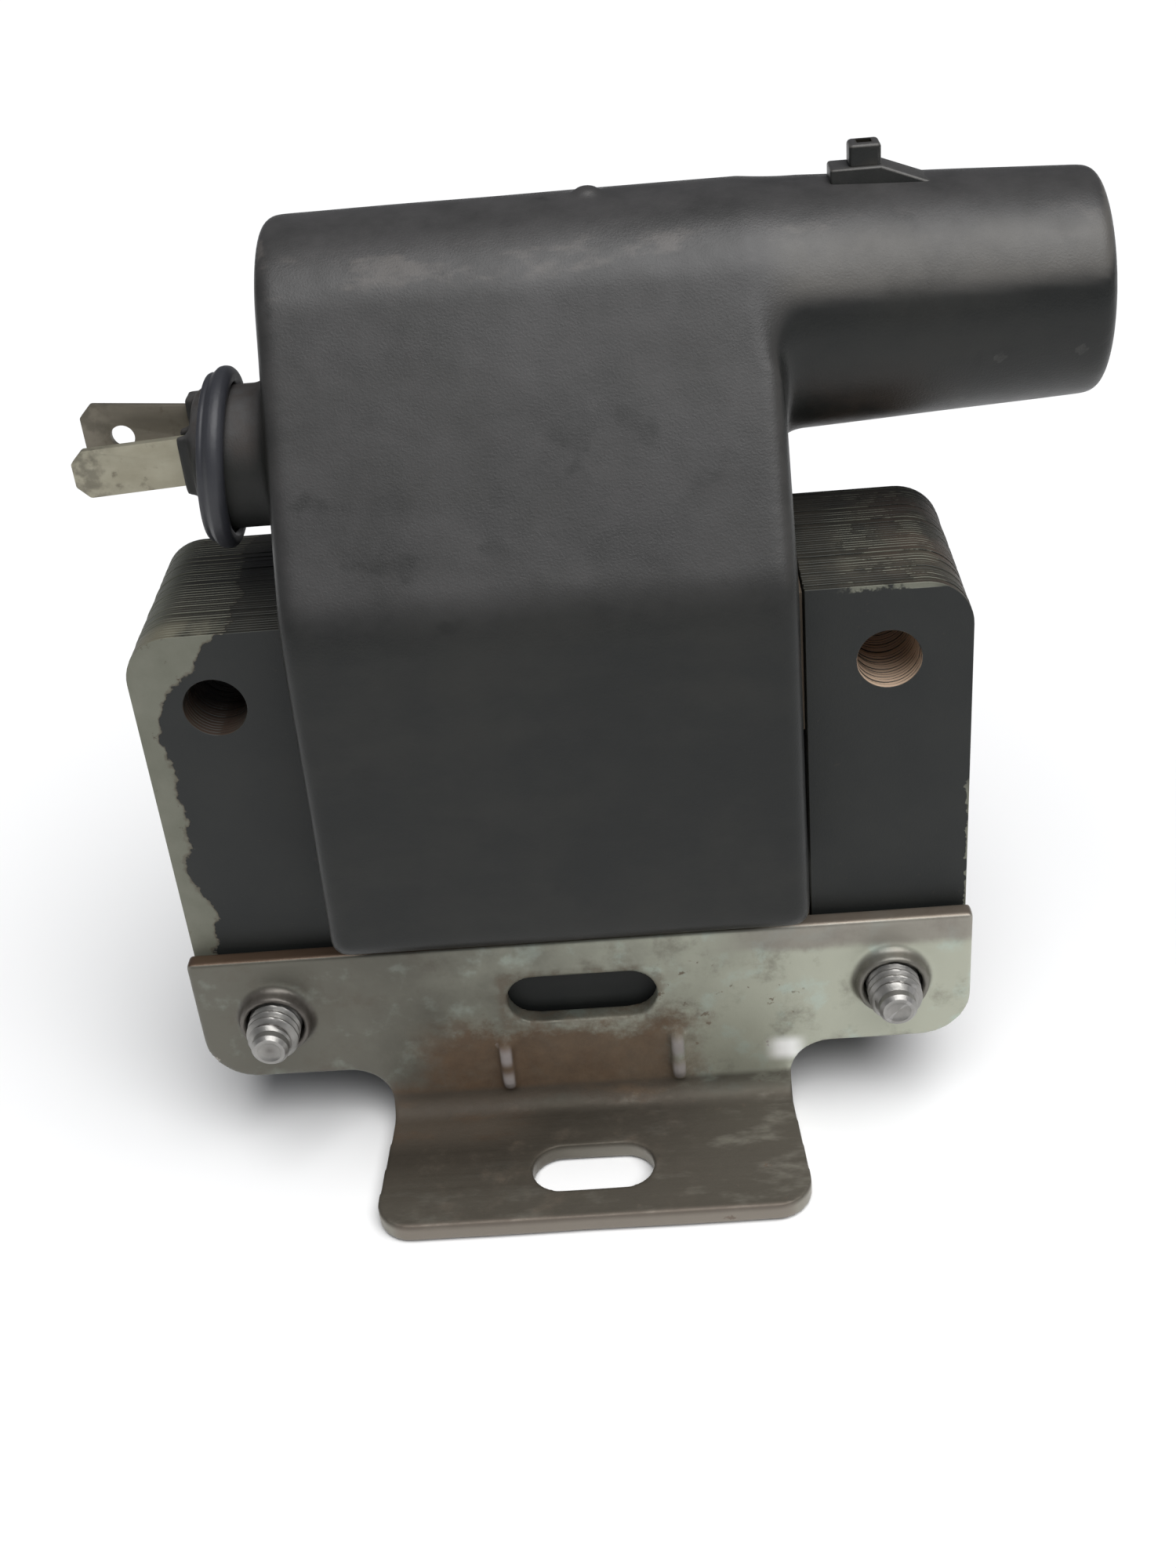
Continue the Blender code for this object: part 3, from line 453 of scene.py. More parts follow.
class Finish:
    """A material's nodes, with points in millimetres from the core's front face and mid-height."""

    def __init__(self, name, specular=0.5):
        self.material = bpy.data.materials.new(name)
        self.material.use_nodes = True
        self.tree = self.material.node_tree
        self.shader = self.tree.nodes["Principled BSDF"]
        self.shader.inputs["Specular IOR Level"].default_value = specular
        self.point = self.add("ShaderNodeMapping", Location=-BASE / MM, Scale=(1 / MM,) * 3)
        self.feed(self.point.node.inputs["Vector"], self.add_raw("ShaderNodeTexCoord").outputs["Object"])
        self.x, self.y, self.z = self.split(self.point)
        geometry = self.add_raw("ShaderNodeNewGeometry")
        self.normal_x, self.normal_y, self.normal_z = self.split(geometry.outputs["Normal"])
        self.pointiness = geometry.outputs["Pointiness"]

    def add_raw(self, kind):
        return self.tree.nodes.new(kind)

    def add(self, kind, output=0, settings=(), **inputs):
        """A node with its inputs set or linked. It gives one of its output sockets."""
        node = self.add_raw(kind)
        for key, value in dict(settings).items():
            setattr(node, key, value)
        for key, value in inputs.items():
            self.feed(node.inputs[key.replace("_", " ")], value)
        return node.outputs[output]

    def feed(self, socket, value):
        if isinstance(value, bpy.types.NodeSocket):
            self.tree.links.new(value, socket)
        else:
            socket.default_value = value

    def split(self, vector):
        node = self.add_raw("ShaderNodeSeparateXYZ")
        self.feed(node.inputs[0], vector)
        return list(node.outputs)

    def sum(self, operation, one, two):
        node = self.add_raw("ShaderNodeMath")
        node.operation = operation
        self.feed(node.inputs[0], one)
        self.feed(node.inputs[1], two)
        return node.outputs[0]

    def plus(self, one, two):
        return self.sum("ADD", one, two)

    def minus(self, one, two):
        return self.sum("SUBTRACT", one, two)

    def times(self, one, two):
        return self.sum("MULTIPLY", one, two)

    def most(self, one, two):
        return self.sum("MAXIMUM", one, two)

    def least(self, one, two):
        return self.sum("MINIMUM", one, two)

    def hypot(self, one, two):
        squares = self.plus(self.sum("POWER", one, 2.0), self.sum("POWER", two, 2.0))
        return self.sum("POWER", squares, 0.5)

    def away(self, value, middle):
        """How far a value is from a middle."""
        return self.sum("ABSOLUTE", self.minus(value, middle), 0)

    def noise(self, size, detail=4, rough=0.6, stretch=(1, 1, 1), seed=0):
        """Noise with spots about this many millimetres across."""
        shift = (seed * 17.3, seed * 5.1 + 3, seed * 9.7)
        place_at = self.add("ShaderNodeMapping", Vector=self.point, Location=shift, Scale=stretch)
        return self.add("ShaderNodeTexNoise", Vector=place_at, Scale=1 / size, Detail=detail, Roughness=rough)

    def patches(self, low, high, *args, **settings):
        """Noise as patches: nought where it is under low, one where it is over high."""
        return self.band(self.noise(*args, **settings), low, high)

    def drift(self, amount, *args, **settings):
        """Noise about nought, up to half this amount each way."""
        return self.times(self.minus(self.noise(*args, **settings), 0.5), amount)

    def band(self, value, low, high, start=0.0, end=1.0):
        """Rises smoothly from start to end as the value goes from low to high."""
        node = self.add_raw("ShaderNodeMapRange")
        node.interpolation_type = "SMOOTHSTEP"
        for socket, number in zip(node.inputs, (value, low, high, start, end)):
            self.feed(socket, number)
        return node.outputs[0]

    def near(self, value, middle, inner, outer):
        """One within inner of the middle, falling to nought at outer."""
        return self.band(self.away(value, middle), inner, outer, 1.0, 0.0)

    def all(self, *masks):
        made = masks[0]
        for mask in masks[1:]:
            made = self.times(made, mask)
        return made

    def mix(self, factor, one, two):
        """One colour, or the other where the factor is one."""
        node = self.add_raw("ShaderNodeMix")
        node.data_type = "RGBA"
        self.feed(node.inputs[0], factor)
        for socket, color in ((node.inputs[6], one), (node.inputs[7], two)):
            self.feed(socket, color if isinstance(color, bpy.types.NodeSocket) else (*color, 1))
        return node.outputs[2]

    def coats(self, color, *coats):
        """A colour under others, each given by where it lies and what it is."""
        for mask, coat in coats:
            color = self.mix(mask, color, coat)
        return color

    def blend(self, factor, one, two):
        """One number, or the other where the factor is one."""
        node = self.add_raw("ShaderNodeMix")
        self.feed(node.inputs[0], factor)
        self.feed(node.inputs[2], one)
        self.feed(node.inputs[3], two)
        return node.outputs[0]

    def bump(self, height, distance, strength=1.0, under=None):
        """A bump whose height is in millimetres. under is a bump to lie on."""
        node = self.add_raw("ShaderNodeBump")
        self.feed(node.inputs["Strength"], strength)
        node.inputs["Distance"].default_value = distance * MM
        self.feed(node.inputs["Height"], height)
        if under is not None:
            self.feed(node.inputs["Normal"], under)
        return node.outputs[0]

    def done(self, color, roughness, metallic=0.0, normal=None):
        for name, value in (("Base Color", color), ("Roughness", roughness), ("Metallic", metallic)):
            if name == "Base Color" and not isinstance(value, bpy.types.NodeSocket):
                value = (*value, 1)
            self.feed(self.shader.inputs[name], value)
        if normal is not None:
            self.feed(self.shader.inputs["Normal"], normal)
        return self.material


def case_plastic():
    """Matt black moulding, dusty on its slopes, with fine grain and worn edges, painted highlight bands on
    the ridge and the tower, and painted bounce light under the tower.
    """
    f = Finish("case plastic", specular=0.37)
    cloud = f.noise(16, seed=1)
    streak = f.noise(5, stretch=(0.35, 1, 1), seed=2)
    film = f.band(f.plus(cloud, f.times(streak, 0.6)), 0.62, 1.0)
    facing_up = f.band(f.normal_z, 0.1, 0.75)
    color = f.mix(f.times(film, 0.6), (0.0065, 0.0075, 0.007), (0.018, 0.018, 0.0155))
    dust = f.all(facing_up, f.band(f.noise(7, 5, 0.65, seed=3), 0.1, 0.8, 0.35, 1.0))
    # painted highlight: a lighter, mottled band along the front of the ridge, on faces tipped about 48
    # degrees up
    painted_ridge_highlight = f.all(
        f.near(f.normal_z, 0.74, 0.07, 0.15), f.band(f.z, 50.0, 53.0),
        f.patches(0.5, 0.66, 3.5, 5, 0.65, stretch=(0.45, 1, 1), seed=26), 0.55,
    )
    # painted highlight: a lighter, mottled band round the tower's root, on faces tipped about 34 degrees up
    tower_highlight_mottle = f.band(f.noise(6, seed=24), 0.2, 0.6, 0.5, 1.0)
    painted_tower_highlight = f.all(f.band(f.x, 22.0, 27.0), f.near(f.normal_z, 0.56, 0.1, 0.3), tower_highlight_mottle)
    smudge = f.all(f.patches(0.56, 0.7, 4.5, 3, 0.5, seed=4), f.patches(0.5, 0.6, 20, 1, 0.5, seed=5))
    rub = f.all(f.band(f.pointiness, 0.515, 0.56), f.patches(0.35, 0.65, 3, 5, 0.7, seed=6), 0.55)
    # painted bounce light: lighter brown on the downward faces of the tower near the case
    under = f.all(
        f.band(f.x, CASE_HALF_X - 3, CASE_HALF_X + 1), f.band(f.x, 34.0, 44.0, 1.0, 0.0),
        f.band(f.normal_z, -0.1, -0.6), f.patches(0.3, 0.6, 6, 3, 0.6, seed=7), 0.7,
    )
    grime = f.all(f.band(f.pointiness, 0.49, 0.45), 0.6)
    boss = f.band(f.x, -24.6, -25.4)
    on_boss = f.all(boss, f.band(f.normal_z, -0.1, 0.6), f.patches(0.35, 0.7, 3, seed=25), 0.7)
    color = f.coats(
        color,
        (dust, (0.055, 0.053, 0.053)),
        (painted_ridge_highlight, (0.105, 0.095, 0.088)),
        (f.times(painted_tower_highlight, 0.9), (0.095, 0.09, 0.083)),
        (f.times(smudge, 0.5), (0.006, 0.0065, 0.006)),
        (rub, (0.05, 0.049, 0.045)),
        (under, (0.03, 0.022, 0.017)),
        (grime, (0.03, 0.026, 0.02)),
        (on_boss, (0.032, 0.025, 0.021)),
    )
    rough = f.blend(boss, f.blend(film, 0.38, 0.44), 0.62)
    rough = f.plus(rough, f.drift(0.14, 2.5, 5, 0.7, seed=8))
    grain = f.bump(f.noise(0.22, 3, 0.6, seed=9), 0.05, 0.5)
    dents = f.bump(f.noise(9, 2, 0.5, seed=10), 0.25, 0.5, under=grain)
    return f.done(color, rough, 0.0, dents)


def case_loop():
    """The case's outline in Y and Z: the foot, the knee, the slope, the ridge and the back."""
    towards = Vector((RIDGE_Y, RIDGE_Z)) - CASE_KNEE
    lean = atan2(towards.x, towards.y) - asin(RIDGE_RADIUS / towards.length)
    ridge = arc((RIDGE_Y, RIDGE_Z), RIDGE_RADIUS, 180 - degrees(lean), 0, 48)
    front = [
        *fillet(CASE_FOOT, (CASE_BACK, CASE_FOOT.y), CASE_KNEE, CASE_FOOT_FILLET, 6),
        *fillet(CASE_KNEE, CASE_FOOT, ridge[0], CASE_KNEE_FILLET, 20),
    ]
    return front + ridge + [(CASE_BACK, CASE_FOOT.y)], lean


def case_cavity(lean):
    inward = Vector((cos(lean), -sin(lean))) * CASE_WALL
    foot = (CASE_FOOT.x + CASE_WALL + 0.1, CASE_FOOT.y + CASE_WALL)
    knee = (CASE_KNEE.x + CASE_WALL, CASE_KNEE.y - 0.3)
    slope_foot = CASE_KNEE + inward
    top = (slope_foot.x + (CAVITY_TOP - slope_foot.y) * sin(lean) / cos(lean), CAVITY_TOP)
    back = CASE_BACK + 1
    loop = [foot, knee, top, (back, CAVITY_TOP), (back, foot[1])]
    half = CASE_HALF_X - CASE_WALL
    return outline("cavity", [loop], -half, half, FACING_X)


def ridge_turned(name, profile, steps=96):
    return turned(name, profile, at(0, RIDGE_Y, RIDGE_Z, AXIS_X), steps)


def make_case():
    """The moulding, with its tower, boss and ridge mark, rounded where they meet."""
    loop, lean = case_loop()
    body = rounded_prism("moulded_case", loop, CASE_HALF_X, CASE_END_ROUND)
    lip = arc((TOWER_END_RADIUS - TOWER_LIP, TOWER_END - TOWER_LIP), TOWER_LIP, 90, 0, 8)
    tower_profile = [(0, TOWER_END), *lip, (TOWER_BASE_RADIUS, CASE_HALF_X)]
    tower = ridge_turned("tower", [*tower_profile, (TOWER_BASE_RADIUS, TOWER_START), (0, TOWER_START)])
    boss_profile = [(0, BOSS_START), (BOSS_RADIUS, BOSS_START), (BOSS_RADIUS, BOSS_END + 0.6)]
    boss_profile += [(BOSS_RADIUS - 0.6, BOSS_END), (0, BOSS_END)]
    boss = turned("boss", boss_profile, at(0, BOSS_Y, BOSS_Z, AXIS_X))
    mark = turned("ridge_mark", RIDGE_MARK, at(RIDGE_MARK_X, RIDGE_Y, 0), 32)
    steps = [
        block(f"blade_step_{i}", (BOSS_END - 1.5, y - 1.4, z - half), (BOSS_END + 1, y + 1.4, z + half))
        for i, (y, z, half) in enumerate(BLADE_STEPS)
    ]
    combine(body, [tower, boss, mark, *steps], "UNION")
    reach = CASE_HALF_X + 1
    limb_low = (-reach, -LIMB_WAY_GAP, WINDOW_Z - LIMB_WAY_GAP)
    limb_high = (reach, CORE_DEPTH + LIMB_WAY_GAP, CORE_HALF_Z + LIMB_WAY_GAP)
    mouth, mouth_radius = TOWER_END + 1, SOCKET_RADIUS + 0.5
    socket = [(0, mouth), (mouth_radius, mouth), (mouth_radius, TOWER_END - 0.5)]
    socket += [(SOCKET_RADIUS, TOWER_END - 1.0), (SOCKET_FLOOR_RADIUS, SOCKET_FLOOR), (0, SOCKET_FLOOR)]
    start, end, radius = TERMINAL_WAY_START, TERMINAL_WAY_END, TERMINAL_WAY_RADIUS
    cutters = [
        case_cavity(lean),
        block("limb_way", limb_low, limb_high),
        ridge_turned("socket", socket),
        ridge_turned("terminal_way", [(0, end), (radius, end), (radius, start), (0, start)], 48),
        block("lead_way", LEAD_WAY_LOW, LEAD_WAY_HIGH),
    ]
    inner_x = -CASE_HALF_X + CASE_WALL + 1
    for i, (y, z, half) in enumerate(BLADE_WAYS):
        low, high = (BOSS_END - 3, y - 0.6, z - half), (inner_x, y + 0.6, z + half)
        cutters.append(block(f"blade_way_{i}", low, high))
    combine(body, cutters, "DIFFERENCE")
    remesh(body, CASE_VOXEL)
    soften(body, 5)

    def meeting(points):
        """More than nought only where the tower or the boss leaves the case's side."""
        x, y, z = points.T
        total = 0
        for root_x, axis_y, axis_z, radius, width in (
            (CASE_HALF_X, RIDGE_Y, RIDGE_Z, TOWER_BASE_RADIUS, 2.8),
            (-CASE_HALF_X, BOSS_Y, BOSS_Z, BOSS_RADIUS, 1.8),
        ):
            along = np.abs(x - root_x)
            outward = np.abs(np.hypot(y - axis_y, z - axis_z) - radius)
            near = (along < width) & (outward < width)
            total = total + np.where(near, (1 - along / width) * (1 - outward / width) * 2.2, 0)
        return total

    soften(body, 60, meeting)
    wander(body, 14, 0.07, 3)
    return body


def make_lug():
    """The latch lug on the tower: a pad with a step and a ramp, and a block with a recess."""
    below = RIDGE_Z + TOWER_END_RADIUS - 2
    start, flat_end, foot = LUG_PAD_X
    ramp = [(start, below), (foot, below), (flat_end, LUG_PAD_TOP), (start, LUG_PAD_TOP)]
    pad = outline("latch_lug", [ramp], RIDGE_Y - LUG_PAD_HALF_Y, RIDGE_Y + LUG_PAD_HALF_Y, FACING_Y)
    for vertex in pad.data.vertices:
        if vertex.co.z < below + 0.1:
            vertex.co.y += LUG_PAD_SPREAD if vertex.co.y > RIDGE_Y else -LUG_PAD_SPREAD
    bevel(pad, 0.3, 4)
    low = (LUG_X - LUG_HALF_X, RIDGE_Y - LUG_HALF_Y, below)
    post = block("lug_post", low, (LUG_X + LUG_HALF_X, RIDGE_Y + LUG_HALF_Y, LUG_TOP))
    bevel(post, 0.4, 4)
    combine(pad, [post], "UNION")
    half_x, half_y, depth = LUG_RECESS
    low = (LUG_X - half_x, RIDGE_Y - half_y, LUG_TOP - depth)
    recess = block("recess", low, (LUG_X + half_x, RIDGE_Y + half_y, LUG_TOP + 1))
    return combine(pad, [recess], "DIFFERENCE")


def make_seal():
    """The rubber ring on the boss, with a broad lip and a narrow one, sitting a little askew."""
    inner = BOSS_RADIUS + 0.28
    half = SEAL_HALF_X
    rim = [(8.5, 1.1), (8.75, 0.75), (8.8, 0.3), (8.7, -0.15), (8.35, -0.5), (8.1, -0.7), (8.15, -0.95)]
    profile = [(inner, half - 0.3), (inner + 0.3, half), (8.2, half), *rim]
    profile += [(7.95, -half), (inner + 0.3, -half), (inner, 0.3 - half)]
    tilt = at(SEAL_X, BOSS_Y, BOSS_Z) @ Matrix.Rotation(SEAL_TILT, 4, "Y") @ AXIS_X
    return bevel(ring("boss_seal", profile, tilt), 0.2, 3, 12)


def make_blade(name, y, tip_z, inner_z, width, hole):
    """A flat tab with coined edges and chamfered corners."""
    low, high, half = inner_z - width / 2, inner_z + width / 2, width / 2
    shoulder = BLADE_TIP_X + BLADE_CHAMFER
    corners = [
        (BLADE_INNER_X, low, 0), (BLADE_INNER_X, high, 0), (BLADE_ROOT_X, high, 3),
        (shoulder, tip_z + half, 0.5), (BLADE_TIP_X, tip_z + half - BLADE_CHAMFER, 0.4),
        (BLADE_TIP_X, tip_z - half + BLADE_CHAMFER, 0.4), (shoulder, tip_z - half, 0.5),
        (BLADE_ROOT_X, low, 3),
    ]
    loops = [rounded_outline(corners, 4)]
    if hole:
        loops.append(circle((BLADE_HOLE_X, tip_z - BLADE_HOLE_DROP), BLADE_HOLE_RADIUS, 32))
    return bevel(outline(name, loops, y - BLADE_HALF_Y, y + BLADE_HALF_Y, FACING_Y), 0.14, 2, 50)


def make_terminal():
    """The turned brass stud at the foot of the tower's socket."""
    nose = arc((0, STUD_SHOULDER), STUD_RADIUS, 90, 0, 12)[:-1]
    profile = [(0, nose[0][1]), *nose[1:]]
    radius, foot = STUD_RADIUS, STUD_FOOT
    for height in STUD_GROOVES:
        profile += [(radius, height), (2.25, height - 0.3), (2.25, height - 0.8), (radius, height - 1.1)]
    profile += [(radius, 32.1), (2.5, 32.0), (2.4, 31.8), (2.4, foot + 0.2), (2.2, foot), (0, foot)]
    return ridge_turned("tower_stud", profile, 64)


def make_potting():
    """The resin in the case's open back, crept up at the walls and sunk a little in the middle."""
    half = CASE_HALF_X - CASE_WALL - 0.1
    low, high = CASE_FOOT.y + CASE_WALL + 0.1, CAVITY_TOP - 0.1
    across, up = 60, 68
    creep_height, creep_width = 0.55, 0.8
    points, faces = [], []
    for k in range(up + 1):
        for i in range(across + 1):
            x, z = half * (2 * i / across - 1), low + (high - low) * k / up
            wall = min(half - abs(x), z - low, high - z)
            creep = creep_height / (1 + (wall / creep_width) ** 2)
            broad, fine = (noise.noise(Vector((x / size, z / size, w))) for size, w in ((9, 4.2), (2.5, 9)))
            points.append((x, RESIN_FACE + creep + (0.16 * broad + 0.05 * fine), z))
    row = across + 1
    for k in range(up):
        for i in range(across):
            a = k * row + i
            faces.append((a, a + 1, a + row + 1, a + row))
    end = len(points)
    rim = [*range(row), *range(row + across, end, row), *range(end - 2, end - row - 1, -1)]
    rim += range((up - 1) * row, 0, -row)
    count = len(rim)
    points += [(points[i][0], RESIN_SKIN, points[i][2]) for i in rim]
    for i in range(count):
        k = (i + 1) % count
        faces.append((rim[i], rim[k], end + k, end + i))
    faces.append(tuple(range(end, end + count)))
    sheet = solid("potting_fill", points, faces)
    front, back, top = CASE_FOOT.x + CASE_WALL + 1, RESIN_BLOCK_BACK, RESIN_BLOCK_TOP
    loop = [(front, low), (back, low), (back, top), (front, top)]
    foot = outline("foot", [loop], -half + 0.2, half - 0.2, FACING_X)
    for vertex in foot.data.vertices:  # its underside stays clear of the sheet's lower edge
        vertex.co.z += 0.2 if vertex.co.z < 0 else 0
    return combine(sheet, [foot], "UNION")


def stack(name, corners, hole_x):
    """Stamped sheets, each a hair out of line with the next, over a dark varnish that fills the gaps."""
    dice = random.Random(name)

    def stamped(radius):
        return [rounded_outline(corners, 12), *(circle((hole_x, side * HOLE_Z), radius) for side in (-1, 1))]

    pitch = CORE_DEPTH / SHEETS
    scale = 1 - 0.06 / max(abs(corner[0]) for corner in corners)
    sheets = []
    for i in range(SHEETS):
        start = pitch * i + (SHEET_GAP / 2 if i else 0)
        end = pitch * (i + 1) - (SHEET_GAP / 2 if i < SHEETS - 1 else 0)
        sheet = outline(f"{name}_{i}", stamped(HOLE_RADIUS), start, end, FACING_Y)
        shift = (dice.uniform(-0.05, 0.05), 0, dice.uniform(-0.05, 0.05))
        sheet.data.transform(Matrix.Translation(shift) @ Matrix.Diagonal((scale, 1, scale, 1)))
        sheets.append(sheet)
    middle = sum(corner[0] for corner in corners) / len(corners)
    body = outline(name + "_varnish", stamped(HOLE_RADIUS + 0.15), 0.15, CORE_DEPTH - 0.15, FACING_Y)
    body.data.transform(at(middle, 0, 0) @ Matrix.Diagonal((0.994, 1, 0.994, 1)) @ at(-middle, 0, 0))
    return bevel(join(name, sheets), 0.05, 1, 50), body


def make_bracket():
    """The pressed steel bracket: plate, bend and flange, with its slots, darts and drawn collars."""
    centre = (PLATE_FRONT - BEND_RADIUS, FLANGE_UNDERSIDE + SHEET + BEND_RADIUS)
    outer = arc(centre, BEND_RADIUS + SHEET, 0, -90, 16)
    inner = arc(centre, BEND_RADIUS, -90, 0, 16)
    front = FLANGE_LIP - 5
    loop = [(outer[0][0], PLATE_TOP), *outer, (front, outer[-1][1]), (front, inner[0][1]), *inner]
    loop.append((inner[-1][0], PLATE_TOP))
    sheet = outline("pressed_bracket", [loop], -PLATE_HALF_X, PLATE_HALF_X, FACING_X)
    far, low, neck = PLATE_HALF_X + 8, FLANGE_UNDERSIDE - 4, NECK_HALF_X
    trims = []
    for name, side in (("left", -1), ("right", 1)):
        corners = [
            (side * far, low, 0), (side * neck, low, 0), (side * neck, PLATE_BOTTOM, NECK_FILLET),
            (side * PLATE_HALF_X, PLATE_BOTTOM, PLATE_CORNER), (side * PLATE_HALF_X, -HOLE_Z, 0),
            (side * far, -HOLE_Z, 0),
        ]
        trims.append(outline(f"trim_{name}", [rounded_outline(corners)], PLATE_FRONT - 1.2, 1, FACING_Y))
    bend_y, behind, ahead = PLATE_FRONT - BEND_RADIUS, 5, FLANGE_LIP - 9
    left = [(-neck, behind, 0), (-neck, bend_y, 0), (-FLANGE_LIP_HALF_X, FLANGE_LIP, FLANGE_CORNER)]
    right = [(-u, v, radius) for u, v, radius in reversed(left)]
    corners = [(-far, behind, 0), *left, *right, (far, behind, 0), (far, ahead, 0), (-far, ahead, 0)]
    flange_top = FLANGE_UNDERSIDE + SHEET
    bend_top = flange_top + BEND_RADIUS + 0.4
    trims.append(outline("flange_trim", [rounded_outline(corners)], low, bend_top, FACING_Z))
    hole = slot((0, FLANGE_SLOT_Y), *FLANGE_SLOT)
    trims.append(outline("flange_slot", [hole], FLANGE_UNDERSIDE - 1, flange_top + 1, FACING_Z))
    trims.append(outline("plate_slot", [slot((0, -HOLE_Z), *PLATE_SLOT)], PLATE_FRONT - 1, 1, FACING_Y))
    combine(sheet, trims, "DIFFERENCE")
    added = []
    for i, x in enumerate(RIB_X):
        spine = [Vector((x, *point)) for point in RIB_SPINE]
        for k, (one, two) in enumerate(zip(spine, spine[1:])):
            length = (two - one).length
            ends = arc((0, 0), RIB_RADIUS, -90, 90, 12)
            profile = [(0, -RIB_RADIUS)] + [(u, v if v < 0 else v + length) for u, v in ends[1:-1]]
            profile.append((0, length + RIB_RADIUS))
            turn = Matrix.Translation(one) @ (two - one).to_track_quat("Z", "Y").to_matrix().to_4x4()
            added.append(turned(f"dart_{i}_{k}", profile[::-1], turn, 24))

    def at_bolts(name, profile):
        return [turned(f"{name}_{side}", profile, at(side * HOLE_X, 0, -HOLE_Z, AXIS_Y)) for side in (-1, 1)]

    back, foot_radius = PLATE_FRONT + SHEET / 2, COLLAR_RADIUS + 0.5
    collar = [(0, back), (foot_radius, back), (foot_radius, PLATE_FRONT - 0.05)]
    collar += [(COLLAR_RADIUS, PLATE_FRONT - 0.5), (COLLAR_RADIUS, COLLAR_FRONT + 0.25)]
    collar += [(COLLAR_RADIUS - 0.25, COLLAR_FRONT), (0, COLLAR_FRONT)]
    combine(sheet, added + at_bolts("collar", collar), "UNION")
    end = COLLAR_FRONT - 1
    combine(sheet, at_bolts("bore", [(0, 1), (COLLAR_BORE, 1), (COLLAR_BORE, end), (0, end)]), "DIFFERENCE")
    remesh(sheet, BRACKET_VOXEL)
    soften(sheet, 4)
    return wander(sheet, 11, 0.06, 8)


def make_bolt(name, x):
    """A bolt from the back: hexagon head with a chamfered crown, shank, rolled thread and pilot tip."""
    head_low, head_high = BOLT_HEAD
    crown = [(0, head_high - 0.3), (3.0, head_high - 0.3), (3.4, head_high), (4.75, head_high)]
    crown += [(5.2, head_high - 0.28), (BOLT_HEAD_RADIUS, head_high - 0.75)]
    crown += [(BOLT_HEAD_RADIUS, head_low + 0.15), (5.5, head_low)]
    shank = [(BOLT_RADIUS + 0.25, head_low), (BOLT_RADIUS, head_low - 0.3), (BOLT_RADIUS, 0.4)]
    rings = int((THREAD_START - THREAD_END) / THREAD_STEP) + 1
    thread = [(BOLT_RADIUS, THREAD_START - THREAD_STEP * i) for i in range(rings)]
    radius, end = BOLT_TIP_RADIUS, BOLT_LOW.y
    tip = [(radius + 0.2, THREAD_END - 0.25), (radius, THREAD_END - 0.45), (radius, end + 0.45)]
    tip += [(radius - 0.35, end + 0.05), (radius - 0.7, end), (radius - 1.1, end + 0.25), (0, end + 0.3)]

    def radius_at(radius, angle, height):
        if height > head_low - 0.01 and radius > BOLT_RADIUS + 0.3:
            sector = (angle + pi / 6) % (pi / 3) - pi / 6
            return min(radius, BOLT_HEAD_RADIUS * cos(pi / 6) / cos(sector) if radius > 4.9 else radius)
        if THREAD_END - 0.01 <= height <= THREAD_START + 0.01 and radius == BOLT_RADIUS:
            crest = abs(2 * ((height / THREAD_PITCH + angle / tau) % 1) - 1)
            run_out = min(1, max(0, (height - THREAD_END) / 0.5))
            run_in = min(1, max(0, (THREAD_START - height) / 0.6))
            return radius - THREAD_DEPTH * (1 - min(1, crest * 1.25)) * run_in - (1 - run_out) * 0.35
        return radius

    made = turned(name, crown + shank + thread + tip, at(x, 0, -HOLE_Z, AXIS_Y), 72, radius_at)
    made.data.transform(at(x, 0, -HOLE_Z) @ Matrix.Rotation(radians(14 + x), 4, "Y") @ at(-x, 0, HOLE_Z))
    return made


def make_washer(name, x):
    low, high, radius = WASHER_LOW, WASHER_HIGH, WASHER_RADIUS
    profile = [(HOLE_RADIUS + 0.15, low), (radius - 0.2, low), (radius, low + 0.25)]
    profile += [(radius, high - 0.25), (radius - 0.2, high)]
    profile += [(HOLE_RADIUS + 0.2, high), (HOLE_RADIUS, high - 0.2), (HOLE_RADIUS, low + 0.2)]
    return ring(name, profile, at(x, 0, -HOLE_Z, AXIS_Y), 72)


